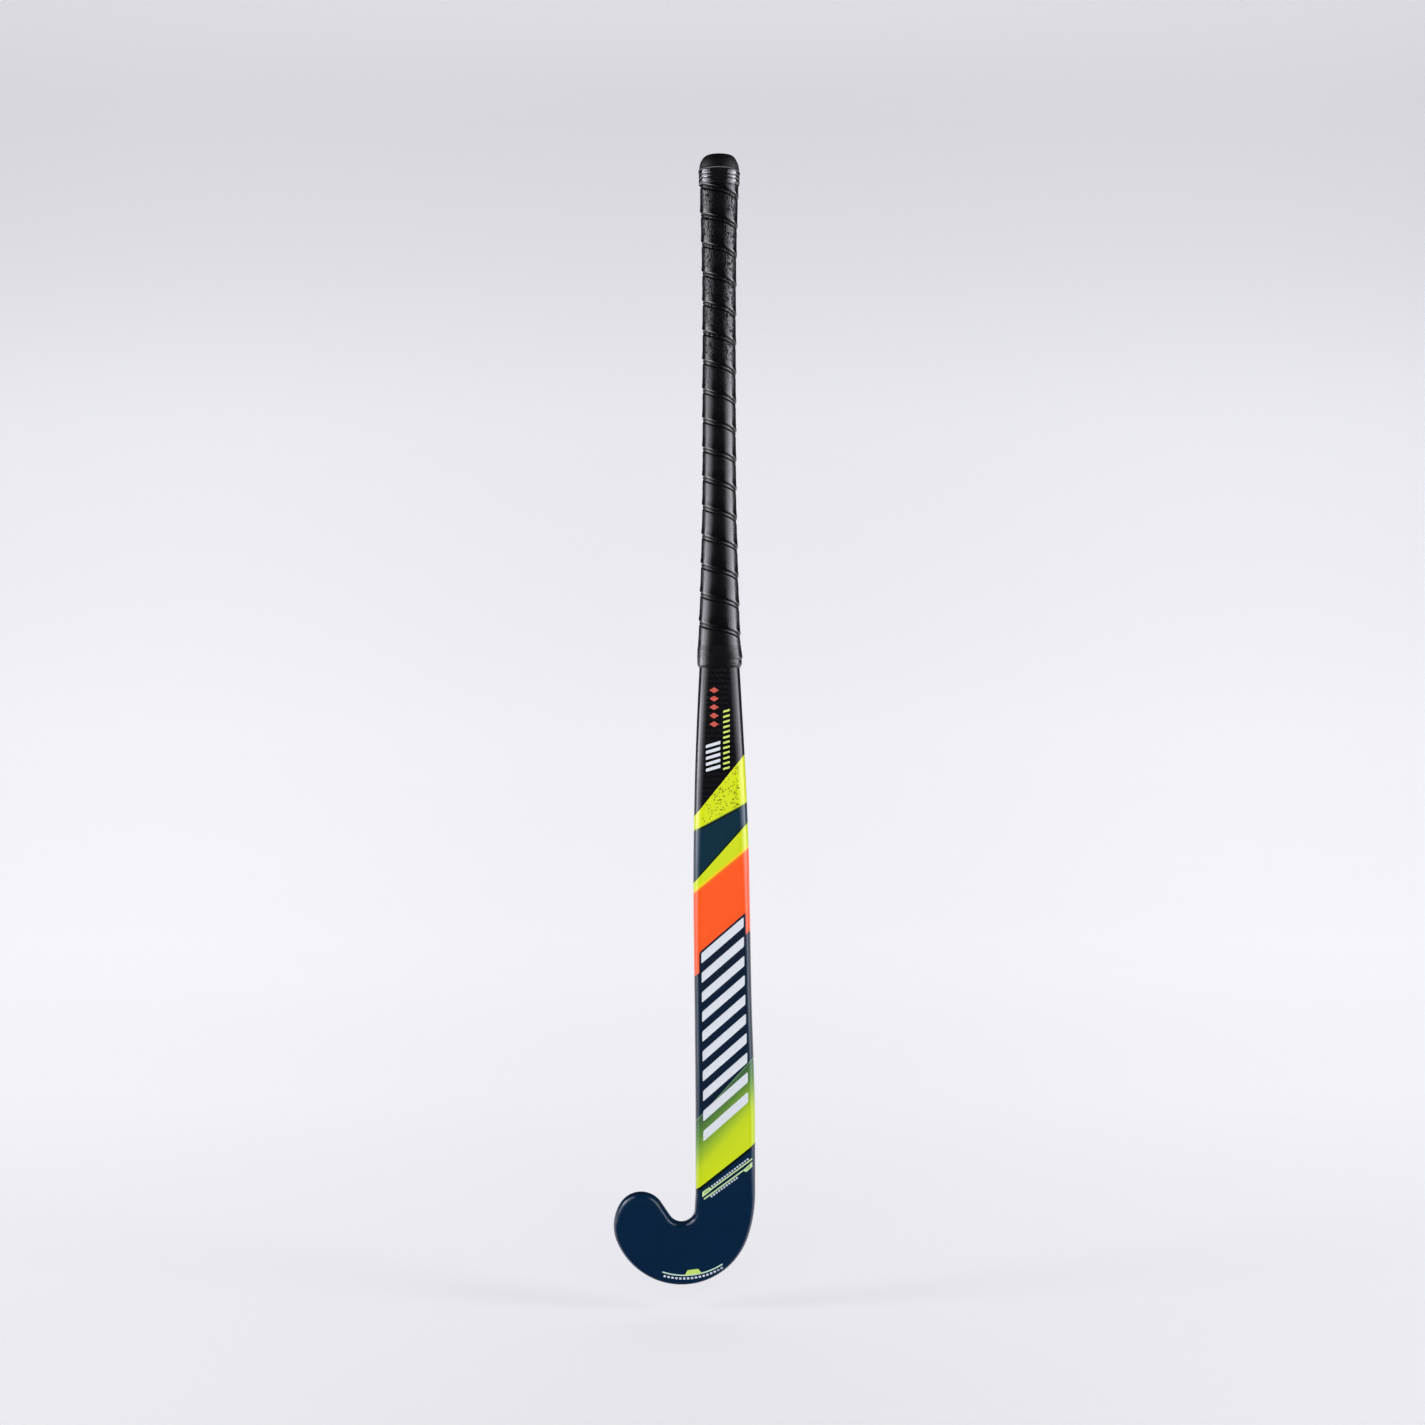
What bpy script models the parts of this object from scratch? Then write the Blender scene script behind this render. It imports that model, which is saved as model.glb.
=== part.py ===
"""Field hockey stick, as the separate pieces it is moulded, filled and wrapped from.

Metres, +Z up along the handle. The flat playing face looks towards -Y and the toe points to -X.
The stick stands on the lowest point of its hooked head, with its bounding box centred on the Z axis.
"""

import math

import bmesh
import bpy
import numpy as np

# ---- Driving dimensions ----------------------------------------------------------------

LENGTH = 0.927  # a 36.5 inch stick
FACE_Y = -0.0211  # plane of the head's flat playing face
GAP = 0.0003  # clearance between pieces that touch

# The hook's outline, seen from the playing side, is a chain of tangent arcs.
SOLE_CENTRE = (-0.0025, 0.0578)
SOLE_RADIUS = 0.0578
HEEL_RADIUS = 0.1128
HEEL_JOIN = math.radians(-18.1)  # where the sole's arc meets the heel's
TOE_RADIUS = 0.0343
TOE_JOIN = math.radians(204.2)
TOE_TOP_RADIUS = 0.0204
TOE_TOP_JOIN = math.radians(148.6)
CROOK_CENTRE = (-0.0026, 0.0623)
CROOK_RADIUS = 0.0109

# Bare shaft: height, left edge, right edge. Below the first row the edges belong to the hook.
SHAFT_EDGES = (
    (0.0750, 0.0090, 0.0580),
    (0.1001, 0.0090, 0.0580),
    (0.1495, 0.0089, 0.0578),
    (0.2306, 0.0080, 0.0554),
    (0.3129, 0.0070, 0.0539),
    (0.3545, 0.0071, 0.0531),
    (0.3961, 0.0078, 0.0515),
    (0.4376, 0.0090, 0.0494),
    (0.4791, 0.0107, 0.0470),
    (0.5040, 0.0120, 0.0455),
    (0.5286, 0.0133, 0.0439),
    (0.5619, 0.0147, 0.0426),
    (0.6031, 0.0158, 0.0414),
    (0.6443, 0.0167, 0.0404),
    (0.7265, 0.0168, 0.0400),
    (0.8083, 0.0168, 0.0400),
    (0.8502, 0.0161, 0.0405),
    (0.8710, 0.0155, 0.0410),
    (0.8909, 0.0149, 0.0417),
    (0.9270, 0.0148, 0.0422),
)

# The bow of the playing face, measured from the line between the head and the butt. The face
# is flat over the head, slopes most at the steep height, and is straight along the handle.
BOW = 0.022
BOW_START_Z = 0.056
BOW_STEEP_Z = 0.150
BOW_STRAIGHT_Z = 0.420

# Section, measured from the widest line of the section: to the face, and to the back.
FACE_DEPTH = 0.0085
BACK_DEPTH = 0.0140
TOE_BACK_DEPTH = 0.0118
HANDLE_DEPTH = 0.0124  # both ways, where the handle is an oval
FACE_CORNER = 0.0055  # width of the rounded edge beside the flat face
BACK_SHOULDER = 0.0190  # width of the rounded back before it levels out
BACK_POWER = 2.2
OVAL_START_Z = 0.250
OVAL_END_Z = 0.600

WALL = 0.0025
TUBE_WALL = 0.0009
INNER_GAP = 0.0004
SHELL_TOP_Z = 0.9135
CORE_TOP_Z = 0.0945
TUBE_BOTTOM_Z = 0.0950
TUBE_TOP_Z = 0.8820
PLUG_BOTTOM_Z = 0.8825
PLUG_TOP_Z = 0.9132

GUARD_THICKNESS = 0.0006
HEEL_GUARD_SPAN = (math.radians(-42), math.radians(-112))  # round the sole
HEEL_GUARD_WRAP = (math.radians(-42), math.radians(36))  # from the back to the face
EDGE_GUARD_SPAN = (0.080, 0.205)  # up the crook side of the shaft
EDGE_GUARD_WRAP = (math.radians(150), math.radians(222))

LINER_THICKNESS = 0.0003
GRIP_THICKNESS = 0.0013
GRIP_PITCH = 0.02392
GRIP_SEAM_Z = 0.8500  # a seam between two turns, on the middle of the face side
GRIP_BOTTOM_Z = 0.5085
GRIP_TOP_Z = 0.9135
GRIP_END_WIDTH = 0.003  # the strip's cut ends narrow to this
GRIP_END_THICKNESS = 0.0008  # it is skived thinner at the bottom, under the collar tape
GRIP_SKIVE_TOP_Z = 0.532
TAPE_THICKNESS = 0.0003
TOP_TAPE_SPAN = (0.9020, 0.9140)
TOP_TAPE_TURNS = 3
TOP_TAPE_RIDGE = 0.0003
COLLAR_SPAN = (0.5060, 0.5245)
CAP_BOTTOM_Z = 0.9143
CAP_FLAT_INSET = 0.0055  # the flat top is this far inside the handle's own section

SHELL_SIDES = 28
INNER_SIDES = 16  # the cavity, and twice a tube's steps, so that facing facets are parallel
TUBE_STEPS = 8
WRAP_SIDES = 20

# Names, colours (linear), roughness and metallic value.
MATERIALS = {
    "laminate_navy": ((0.008, 0.016, 0.045), 0.22, 0.0),
    "carbon_tube": ((0.020, 0.020, 0.022), 0.45, 0.1),
    "foam_white": ((0.620, 0.600, 0.520), 0.90, 0.0),
    "carbon_ply": ((0.012, 0.013, 0.016), 0.30, 0.1),
    "liner_paper": ((0.550, 0.500, 0.400), 0.85, 0.0),
    "grip_black": ((0.009, 0.009, 0.011), 0.48, 0.0),
    "vinyl_black": ((0.007, 0.007, 0.008), 0.22, 0.0),
    "rubber_black": ((0.010, 0.010, 0.010), 0.60, 0.0),
    "plug_grey": ((0.120, 0.120, 0.130), 0.70, 0.0),
}


# ---- Curves and arcs -------------------------------------------------------------------


def smoothstep(start, end, value):
    t = min(max((value - start) / (end - start), 0.0), 1.0)
    return t * t * (3 - 2 * t)


def mix(low, high, share):
    return low + (high - low) * share


def tangent_centre(centre, radius, inner_radius, angle):
    """Centre of an arc that touches another from the same side at the given angle."""
    offset = radius - inner_radius
    return (centre[0] + offset * math.cos(angle), centre[1] + offset * math.sin(angle))


HEEL_CENTRE = tangent_centre(SOLE_CENTRE, SOLE_RADIUS, HEEL_RADIUS, HEEL_JOIN)
TOE_CENTRE = tangent_centre(SOLE_CENTRE, SOLE_RADIUS, TOE_RADIUS, TOE_JOIN)
TOE_TOP_CENTRE = tangent_centre(TOE_CENTRE, TOE_RADIUS, TOE_TOP_RADIUS, TOE_TOP_JOIN)

# The straight from the toe to the crook touches both of their arcs.
REACH_X = CROOK_CENTRE[0] - TOE_TOP_CENTRE[0]
REACH_Z = CROOK_CENTRE[1] - TOE_TOP_CENTRE[1]
REACH = math.hypot(REACH_X, REACH_Z)
LINE_ANGLE = math.atan2(REACH_Z, REACH_X) + math.acos((TOE_TOP_RADIUS + CROOK_RADIUS) / REACH)
LINE_NORMAL = (math.cos(LINE_ANGLE), math.sin(LINE_ANGLE))
LINE_LENGTH = math.sqrt(REACH**2 - (TOE_TOP_RADIUS + CROOK_RADIUS) ** 2)
LINE_START = (
    CROOK_CENTRE[0] - CROOK_RADIUS * LINE_NORMAL[0],
    CROOK_CENTRE[1] - CROOK_RADIUS * LINE_NORMAL[1],
)
LINE_DIRECTION = (-LINE_NORMAL[1], LINE_NORMAL[0])

# Outer arcs: centre, radius, and the angles between which each one is the outline.
OUTER_ARCS = (
    (HEEL_CENTRE, HEEL_RADIUS, HEEL_JOIN, 0.0),
    (SOLE_CENTRE, SOLE_RADIUS, TOE_JOIN - 2 * math.pi, HEEL_JOIN),
    (TOE_CENTRE, TOE_RADIUS, TOE_TOP_JOIN - 2 * math.pi, TOE_JOIN - 2 * math.pi),
    (TOE_TOP_CENTRE, TOE_TOP_RADIUS, LINE_ANGLE - 2 * math.pi, TOE_TOP_JOIN - 2 * math.pi),
)


def within(angle, low, high, slack=1e-7):
    """Whether an angle lies between two others, a turn more or less aside."""
    return (angle - low + slack) % (2 * math.pi) <= high - low + 2 * slack


def edge_distance(x, z):
    """Distance from a point inside the hook to its outline."""
    found = []
    for (cx, cz), radius, low, high in OUTER_ARCS:
        if within(math.atan2(z - cz, x - cx), low, high):
            found.append(radius - math.hypot(x - cx, z - cz))
    cx, cz = CROOK_CENTRE
    if within(math.atan2(z - cz, x - cx), LINE_ANGLE - math.pi, 0.0):
        found.append(math.hypot(x - cx, z - cz) - CROOK_RADIUS)
    from_start = (x - LINE_START[0], z - LINE_START[1])
    along = from_start[0] * LINE_DIRECTION[0] + from_start[1] * LINE_DIRECTION[1]
    if 0 <= along <= LINE_LENGTH:
        found.append(-from_start[0] * LINE_NORMAL[0] - from_start[1] * LINE_NORMAL[1])
    return min(found)


def arc_crossings(direction, centre, radius):
    """Where a ray from the crook's centre crosses a circle: near and far distance."""
    to_centre = (centre[0] - CROOK_CENTRE[0], centre[1] - CROOK_CENTRE[1])
    middle = to_centre[0] * direction[0] + to_centre[1] * direction[1]
    aside = to_centre[0] * direction[1] - to_centre[1] * direction[0]
    half = math.sqrt(max(radius**2 - aside**2, 0.0))
    return middle - half, middle + half


def ray_exit(angle, inset):
    """Distance along a ray at which it leaves the hook, on the outline moved in by inset."""
    direction = (math.cos(angle), math.sin(angle))
    for centre, radius, low, high in OUTER_ARCS:
        far = arc_crossings(direction, centre, radius - inset)[1]
        x = CROOK_CENTRE[0] + far * direction[0] - centre[0]
        z = CROOK_CENTRE[1] + far * direction[1] - centre[1]
        if within(math.atan2(z, x), low, high, 1e-6):
            return far
    raise ValueError("the ray leaves through no arc")


def ray_entry(angle, inset):
    """Distance along a ray at which it enters the hook from the crook."""
    if within(angle, LINE_ANGLE - math.pi, 0.0):
        return CROOK_RADIUS + inset
    direction = (math.cos(angle), math.sin(angle))
    towards = -(direction[0] * LINE_NORMAL[0] + direction[1] * LINE_NORMAL[1])
    distance = (CROOK_RADIUS + inset) / towards
    along = distance * (direction[0] * LINE_DIRECTION[0] + direction[1] * LINE_DIRECTION[1])
    if along <= LINE_LENGTH:
        return distance
    return arc_crossings(direction, TOE_TOP_CENTRE, TOE_TOP_RADIUS - inset)[0]


def last_ray(inset):
    """Angle of the ray that only touches the top of the toe, and the distance to that point."""
    radius = TOE_TOP_RADIUS - inset
    angle = math.atan2(-REACH_Z, -REACH_X) - math.asin(radius / REACH)
    return angle, math.sqrt(REACH**2 - radius**2)


def shaft_edges(z):
    """Left and right edge of the bare shaft at a height, on a smooth curve through the rows."""
    rows = SHAFT_EDGES
    if z < rows[0][0]:
        right = HEEL_CENTRE[0] + math.sqrt(HEEL_RADIUS**2 - (z - HEEL_CENTRE[1]) ** 2)
        crook_edge = CROOK_CENTRE[0] + CROOK_RADIUS
        share = smoothstep(CROOK_CENTRE[1], rows[0][0], z)
        return mix(crook_edge, rows[0][1], share), right
    i = max(k for k in range(len(rows) - 1) if rows[k][0] <= z)
    span = rows[i + 1][0] - rows[i][0]
    t = (z - rows[i][0]) / span
    edges = []
    for side in (1, 2):
        slopes = []
        for k in (i, i + 1):
            before, after = max(k - 1, 0), min(k + 1, len(rows) - 1)
            rise = rows[after][side] - rows[before][side]
            slopes.append(span * rise / (rows[after][0] - rows[before][0]))
        start, end = rows[i][side], rows[i + 1][side]
        edges.append(
            (2 * t**3 - 3 * t**2 + 1) * start
            + (t**3 - 2 * t**2 + t) * slopes[0]
            + (3 * t**2 - 2 * t**3) * end
            + (t**3 - t**2) * slopes[1]
        )
    return edges[0], edges[1]


def ramp_area(t):
    """Area under smoothstep from 0 to t."""
    t = min(max(t, 0.0), 1.0)
    return t**3 - t**4 / 2


BOW_RISE = BOW_STEEP_Z - BOW_START_Z
BOW_FALL = BOW_STRAIGHT_Z - BOW_STEEP_Z
# The handle's slope, as a share of the steepest slope, brings the butt back to the line.
HANDLE_SLOPE = (BOW_RISE + BOW_FALL) / 2 / (BOW_FALL / 2 + LENGTH - BOW_STRAIGHT_Z)
BOW_PEAK = 0.5 - math.sin(math.asin(1 - 2 / (1 + HANDLE_SLOPE)) / 3)
BOW_SLOPE = BOW / (
    BOW_RISE / 2 + BOW_FALL * (BOW_PEAK - (1 + HANDLE_SLOPE) * ramp_area(BOW_PEAK))
)


def face_y(z):
    """The playing face's plane at a height: flat over the head, bowed along the shaft."""
    fall = min(max((z - BOW_STEEP_Z) / BOW_FALL, 0.0), 1.0)
    rise = BOW_RISE * ramp_area((z - BOW_START_Z) / BOW_RISE)
    rise += BOW_FALL * (fall - (1 + HANDLE_SLOPE) * ramp_area(fall))
    rise -= HANDLE_SLOPE * max(z - BOW_STRAIGHT_Z, 0.0)
    return FACE_Y + BOW_SLOPE * rise


# ---- Sections --------------------------------------------------------------------------


def section_point(x, z, reach, inset, half_width, toe, front):
    """Place on the surface over (x, z), a distance reach inside the section's edge.

    half_width is half the section's width and toe is 0 on the shaft and 1 at the toe.
    """
    oval = smoothstep(OVAL_START_Z, OVAL_END_Z, z)
    face_depth = mix(FACE_DEPTH, HANDLE_DEPTH, oval)
    middle = face_y(z) + face_depth
    if front:
        corner = mix(FACE_CORNER, half_width, oval) - inset
        t = min(reach / corner, 1.0)
        return (x, middle - (face_depth - inset) * math.sqrt(max(1 - (1 - t) ** 2, 0.0)), z)
    back_depth = mix(mix(BACK_DEPTH, TOE_BACK_DEPTH, toe), HANDLE_DEPTH, oval) - inset
    shoulder = min(mix(BACK_SHOULDER, half_width, oval), half_width) - inset
    power = mix(BACK_POWER, 2.0, oval)
    t = min(reach / shoulder, 1.0)
    return (x, middle + back_depth * max(1 - (1 - t) ** power, 0.0) ** (1 / power), z)


def shaft_point(z, theta, inset=0.0):
    """Surface point at a height. theta is 0 at the right edge, 90 degrees on the face."""
    left, right = shaft_edges(z)
    half_width = (right - left) / 2
    side = math.cos(theta)
    x = (left + right) / 2 + (half_width - inset) * side
    reach = max((half_width - inset) * (1 - abs(side)), 0.0)
    return section_point(x, z, reach, inset, half_width, 0.0, math.sin(theta) >= 0)


def hook_point(angle, theta, inset=0.0):
    """Surface point on the ray at an angle. theta is 0 at the sole, 180 degrees at the crook."""
    near, far = ray_entry(angle, inset), ray_exit(angle, inset)
    out = (near + far) / 2 + (far - near) / 2 * math.cos(theta)
    x = CROOK_CENTRE[0] + out * math.cos(angle)
    z = CROOK_CENTRE[1] + out * math.sin(angle)
    on_edge = abs(math.sin(theta)) < 1e-9
    # The outline's true distance is measured from the surface point's own foot.
    reach = 0.0 if on_edge else max(edge_distance(x, z) - inset, 0.0)
    toe = smoothstep(math.radians(90), math.radians(200), -angle)
    half_width = (far - near) / 2 + inset
    return section_point(x, z, reach, inset, max(half_width, 0.021), toe, math.sin(theta) >= 0)


def angles(count):
    return [2 * math.pi * i / count for i in range(count)]


def shaft_ring(z, count, inset=0.0):
    return [shaft_point(z, theta, inset) for theta in angles(count)]


def hook_rings(around, count, tip_count, inset=0.0):
    """Rings from the crook's height round the hook to the tip of the toe, tip point last."""
    end, reach = last_ray(inset)
    bend = math.radians(-150)
    rays = [bend * i / count for i in range(1, count + 1)]
    rays += [end + (bend - end) * (1 - i / tip_count) ** 2 for i in range(1, tip_count)]
    rings = [[hook_point(ray, theta, inset) for theta in angles(around)] for ray in rays]
    x = CROOK_CENTRE[0] + reach * math.cos(end)
    z = CROOK_CENTRE[1] + reach * math.sin(end)
    return rings + [[(x, face_y(z) + FACE_DEPTH, z)]]


def spaced(start, end, step):
    """Heights from start to end, both included, about step apart."""
    count = max(round(abs(end - start) / step), 1)
    return [start + (end - start) * i / count for i in range(count + 1)]


def shaft_heights(top, bottom):
    """Heights from top down to bottom, on stations that all the shaft's surfaces share.

    They are close together where the face bows and where the handle flares.
    """
    stations = spaced(0.915, 0.840, 0.019) + spaced(0.840, 0.660, 0.060)[1:]
    stations += spaced(0.660, 0.420, 0.034)[1:] + spaced(0.420, 0.150, 0.027)[1:]
    stations += spaced(0.150, CROOK_CENTRE[1], 0.0125)[1:]
    margin = 0.003
    return [top] + [z for z in stations if bottom + margin < z < top - margin] + [bottom]


# ---- Building solids -------------------------------------------------------------------


def clear_scene():
    for obj in list(bpy.data.objects):
        bpy.data.objects.remove(obj, do_unlink=True)


def material(name):
    found = bpy.data.materials.get(name)
    if found:
        return found
    colour, roughness, metallic = MATERIALS[name]
    made = bpy.data.materials.new(name)
    made.use_nodes = True
    shader = made.node_tree.nodes["Principled BSDF"]
    shader.inputs["Base Color"].default_value = (*colour, 1.0)
    shader.inputs["Roughness"].default_value = roughness
    shader.inputs["Metallic"].default_value = metallic
    return made


def finish_mesh(name, bm, material_name, parent):
    bmesh.ops.recalc_face_normals(bm, faces=bm.faces)
    mesh = bpy.data.meshes.new(name)
    bm.to_mesh(mesh)
    bm.free()
    mesh.shade_smooth()
    mesh.set_sharp_from_angle(angle=math.radians(35))
    mesh.materials.append(material(material_name))
    obj = bpy.data.objects.new(name, mesh)
    bpy.context.scene.collection.objects.link(obj)
    obj.parent = parent
    return obj


def join_rings(bm, lower, upper):
    """Faces between two rings of points. Either may be a single point."""
    if len(upper) == 1:
        lower, upper = upper, lower
    count = len(upper)
    for i in range(count):
        j = (i + 1) % count
        if len(lower) == 1:
            bm.faces.new((lower[0], upper[i], upper[j]))
        else:
            bm.faces.new((lower[i], lower[j], upper[j], upper[i]))


def join_unlike(bm, outer, inner):
    """Triangles between two closed rings of different counts that start at the same angle."""
    i = j = 0
    while i < len(outer) or j < len(inner):
        corner = (outer[i % len(outer)], inner[j % len(inner)])
        if (i + 1) * len(inner) <= (j + 1) * len(outer):
            i += 1
            bm.faces.new((*corner, outer[i % len(outer)]))
        else:
            j += 1
            bm.faces.new((*corner, inner[j % len(inner)]))


def loft(bm, rings, cap_start=True, cap_end=True):
    """A surface through the rings, with flat ends where asked. Returns its rings of points."""
    made = [[bm.verts.new(point) for point in ring] for ring in rings]
    for lower, upper in zip(made, made[1:]):
        join_rings(bm, lower, upper)
    if cap_start and len(made[0]) > 1:
        bm.faces.new(made[0])
    if cap_end and len(made[-1]) > 1:
        bm.faces.new(made[-1])
    return made


def solid(name, rings, material_name, parent):
    bm = bmesh.new()
    loft(bm, rings)
    return finish_mesh(name, bm, material_name, parent)


def sleeve(name, outer, inner, material_name, parent):
    """A tube with open ends: an outer and an inner surface joined at both ends."""
    bm = bmesh.new()
    outside = loft(bm, outer, False, False)
    inside = loft(bm, inner, False, False)
    join_rings(bm, outside[0], inside[0])
    join_rings(bm, outside[-1], inside[-1])
    return finish_mesh(name, bm, material_name, parent)


# ---- Shell, inner tubes and core -------------------------------------------------------


def make_shell(parent):
    """The outer laminate: one moulding, hollow from the toe to its open top end."""
    heights = shaft_heights(SHELL_TOP_Z, CROOK_CENTRE[1])
    outer = [shaft_ring(z, SHELL_SIDES) for z in heights]
    outer += hook_rings(SHELL_SIDES, 20, 9)
    inner = [shaft_ring(z, INNER_SIDES, WALL) for z in heights]
    inner += hook_rings(INNER_SIDES, 15, 6, WALL)
    bm = bmesh.new()
    outside = loft(bm, outer, False, False)
    inside = loft(bm, inner, False, False)
    join_unlike(bm, outside[0], inside[0])
    return finish_mesh("composite_shell", bm, "laminate_navy", parent)


def tube_ring(z, side, inset, web_gap):
    """A half section: the shaft's curve on one side, and the flat web down the middle."""
    left, right = shaft_edges(z)
    middle = (left + right) / 2
    half_width = (right - left) / 2
    width = half_width - inset - web_gap
    ring = []
    for step in range(TUBE_STEPS + 1):
        turn = math.pi * (step / TUBE_STEPS - 0.5)
        across = web_gap + width * math.cos(turn)
        reach = max(half_width - inset - across, 0.0)
        x = middle + side * across
        ring.append(section_point(x, z, reach, inset, half_width, 0.0, turn <= 0))
    return ring


def make_inner_tube(name, side, parent):
    heights = shaft_heights(TUBE_TOP_Z, TUBE_BOTTOM_Z)
    outer_inset = WALL + INNER_GAP
    outer_gap = GAP / 2
    outer = [tube_ring(z, side, outer_inset, outer_gap) for z in heights]
    inner_inset = outer_inset + TUBE_WALL
    inner_gap = outer_gap + TUBE_WALL
    inner = [tube_ring(z, side, inner_inset, inner_gap) for z in heights]
    return sleeve(name, outer, inner, "carbon_tube", parent)


def make_head_core(parent):
    inset = WALL + INNER_GAP
    heights = shaft_heights(CORE_TOP_Z, CROOK_CENTRE[1])
    rings = [shaft_ring(z, INNER_SIDES, inset) for z in heights]
    rings += hook_rings(INNER_SIDES, 15, 6, inset)
    return solid("head_core", rings, "foam_white", parent)


# ---- Guards let into the shell ---------------------------------------------------------


def patch(name, point, rows, columns, inner, outer, material_name, parent):
    """A plate over part of the surface, between two insets, its points placed by point()."""
    bm = bmesh.new()
    layers = []
    for inset in (outer, inner):
        layers.append([[bm.verts.new(point(r, c, inset)) for c in columns] for r in rows])
    for layer in layers:
        for low, high in zip(layer, layer[1:]):
            for i in range(len(columns) - 1):
                bm.faces.new((low[i], low[i + 1], high[i + 1], high[i]))
    rims = []
    for layer in layers:
        rim = layer[0][:-1] + [row[-1] for row in layer[:-1]]
        rim += layer[-1][:0:-1] + [row[0] for row in layer[:0:-1]]
        rims.append(rim)
    join_rings(bm, rims[0], rims[1])
    return finish_mesh(name, bm, material_name, parent)


def let_in(shell, name, point, span, wrap, margins, counts, parent):
    """Cuts a recess into the shell and makes the guard that lies flush in it."""
    rows = np.linspace(*span, counts[0])
    columns = np.linspace(*wrap, counts[1])
    direction = math.copysign(1, span[1] - span[0])
    wide_rows = rows.copy()
    wide_rows[0] -= margins[0] * direction
    wide_rows[-1] += margins[0] * direction
    wide_columns = columns.copy()
    wide_columns[0] -= margins[1]
    wide_columns[-1] += margins[1]
    depth = GUARD_THICKNESS + GAP
    cutter = patch(
        name + "_recess", point, wide_rows, wide_columns, depth, -0.0015, "carbon_ply", parent
    )
    cutter.hide_render = True
    cutter.display_type = "WIRE"
    cut = shell.modifiers.new(name + "_recess", "BOOLEAN")
    cut.operation = "DIFFERENCE"
    cut.solver = "EXACT"
    cut.object = cutter
    return patch(name, point, rows, columns, GUARD_THICKNESS, 0.0, "carbon_ply", parent)


def make_guards(shell, parent):
    heel_margins = (0.007, 0.032)  # radians that make a gap of about 0.4 mm
    edge_margins = (0.0004, 0.032)
    let_in(
        shell, "heel_guard", hook_point, HEEL_GUARD_SPAN, HEEL_GUARD_WRAP,
        heel_margins, (14, 9), parent,
    )
    let_in(
        shell, "edge_guard", shaft_point, EDGE_GUARD_SPAN, EDGE_GUARD_WRAP,
        edge_margins, (9, 9), parent,
    )


# ---- Handle: butt, liner, grip and tapes ------------------------------------------------


def make_butt_plug(parent):
    inset = WALL + INNER_GAP
    heights = shaft_heights(PLUG_TOP_Z, PLUG_BOTTOM_Z)
    rings = [shaft_ring(z, INNER_SIDES, inset) for z in heights]
    return solid("butt_plug", rings, "plug_grey", parent)


GRIP_INNER = -(GAP + LINER_THICKNESS + GAP)


def grip_outer(z):
    """Inset of the grip's outer surface, negative because it lies outside the bare shell."""
    thickness = mix(
        GRIP_END_THICKNESS, GRIP_THICKNESS, smoothstep(GRIP_BOTTOM_Z, GRIP_SKIVE_TOP_Z, z)
    )
    return GRIP_INNER - thickness


TAPE_OUTER = grip_outer(GRIP_TOP_Z) - GAP - TAPE_THICKNESS


def make_butt_cap(parent):
    """A low dome whose flat top is level, over the end of the shell, the plug and the grip."""
    rise = LENGTH - CAP_BOTTOM_Z
    rings = [shaft_ring(CAP_BOTTOM_Z, WRAP_SIDES, TAPE_OUTER + 0.0004)]
    lip_z = CAP_BOTTOM_Z + 0.0012
    rings.append(shaft_ring(lip_z, WRAP_SIDES, TAPE_OUTER))
    steps = 6
    for i in range(1, steps + 1):
        turn = math.pi / 2 * i / steps
        z = lip_z + (rise - 0.0012) * math.sin(turn)
        inset = mix(CAP_FLAT_INSET, TAPE_OUTER, math.cos(turn))
        rings.append([(x, y, z) for x, y, _ in shaft_ring(lip_z, WRAP_SIDES, inset)])
    return solid("butt_cap", rings, "rubber_black", parent)


def make_grip_liner(parent):
    heights = shaft_heights(GRIP_TOP_Z - 0.001, GRIP_BOTTOM_Z + 0.002)
    outer = [shaft_ring(z, WRAP_SIDES, -GAP - LINER_THICKNESS) for z in heights]
    inner = [shaft_ring(z, WRAP_SIDES, -GAP) for z in heights]
    return sleeve("grip_liner", outer, inner, "liner_paper", parent)


def make_grip_tape(parent):
    """One strip wound in a spiral, its ends cut level with the ends of the grip."""
    below = math.ceil((GRIP_SEAM_Z - GRIP_BOTTOM_Z) / GRIP_PITCH)
    start_z = GRIP_SEAM_Z - (below + 0.25) * GRIP_PITCH
    turns = math.ceil((GRIP_TOP_Z - start_z) / GRIP_PITCH) + 1
    rings = []
    for step in range(turns * WRAP_SIDES + 1):
        turn = step / WRAP_SIDES
        theta = 2 * math.pi * turn
        low = max(start_z + GRIP_PITCH * turn, GRIP_BOTTOM_Z)
        high = min(start_z + GRIP_PITCH * (turn + 1) - GAP, GRIP_TOP_Z)
        if high - low < GRIP_END_WIDTH:
            continue
        corners = (
            (low, GRIP_INNER), (low, grip_outer(low)), (high, grip_outer(high)), (high, GRIP_INNER)
        )
        rings.append([shaft_point(z, theta, inset) for z, inset in corners])
    return solid("grip_tape", rings, "grip_black", parent)


def make_top_tape(parent):
    """A narrow tape wound round the top of the grip: each turn stands a little proud."""
    low, high = TOP_TAPE_SPAN
    inner_inset = grip_outer(low) - GAP
    steps = 4
    outer = []
    for i in range(TOP_TAPE_TURNS * steps + 1):
        z = mix(low, high, i / (TOP_TAPE_TURNS * steps))
        ridge = TOP_TAPE_RIDGE * math.sin(math.pi * (i % steps) / steps)
        outer.append(shaft_ring(z, WRAP_SIDES, TAPE_OUTER - ridge))
    inner = [shaft_ring(z, WRAP_SIDES, inner_inset) for z in (low, high)]
    # The grip ends below the tape's top edge, so the inner surface needs no step.
    return sleeve("top_tape", outer, inner, "vinyl_black", parent)


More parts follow.
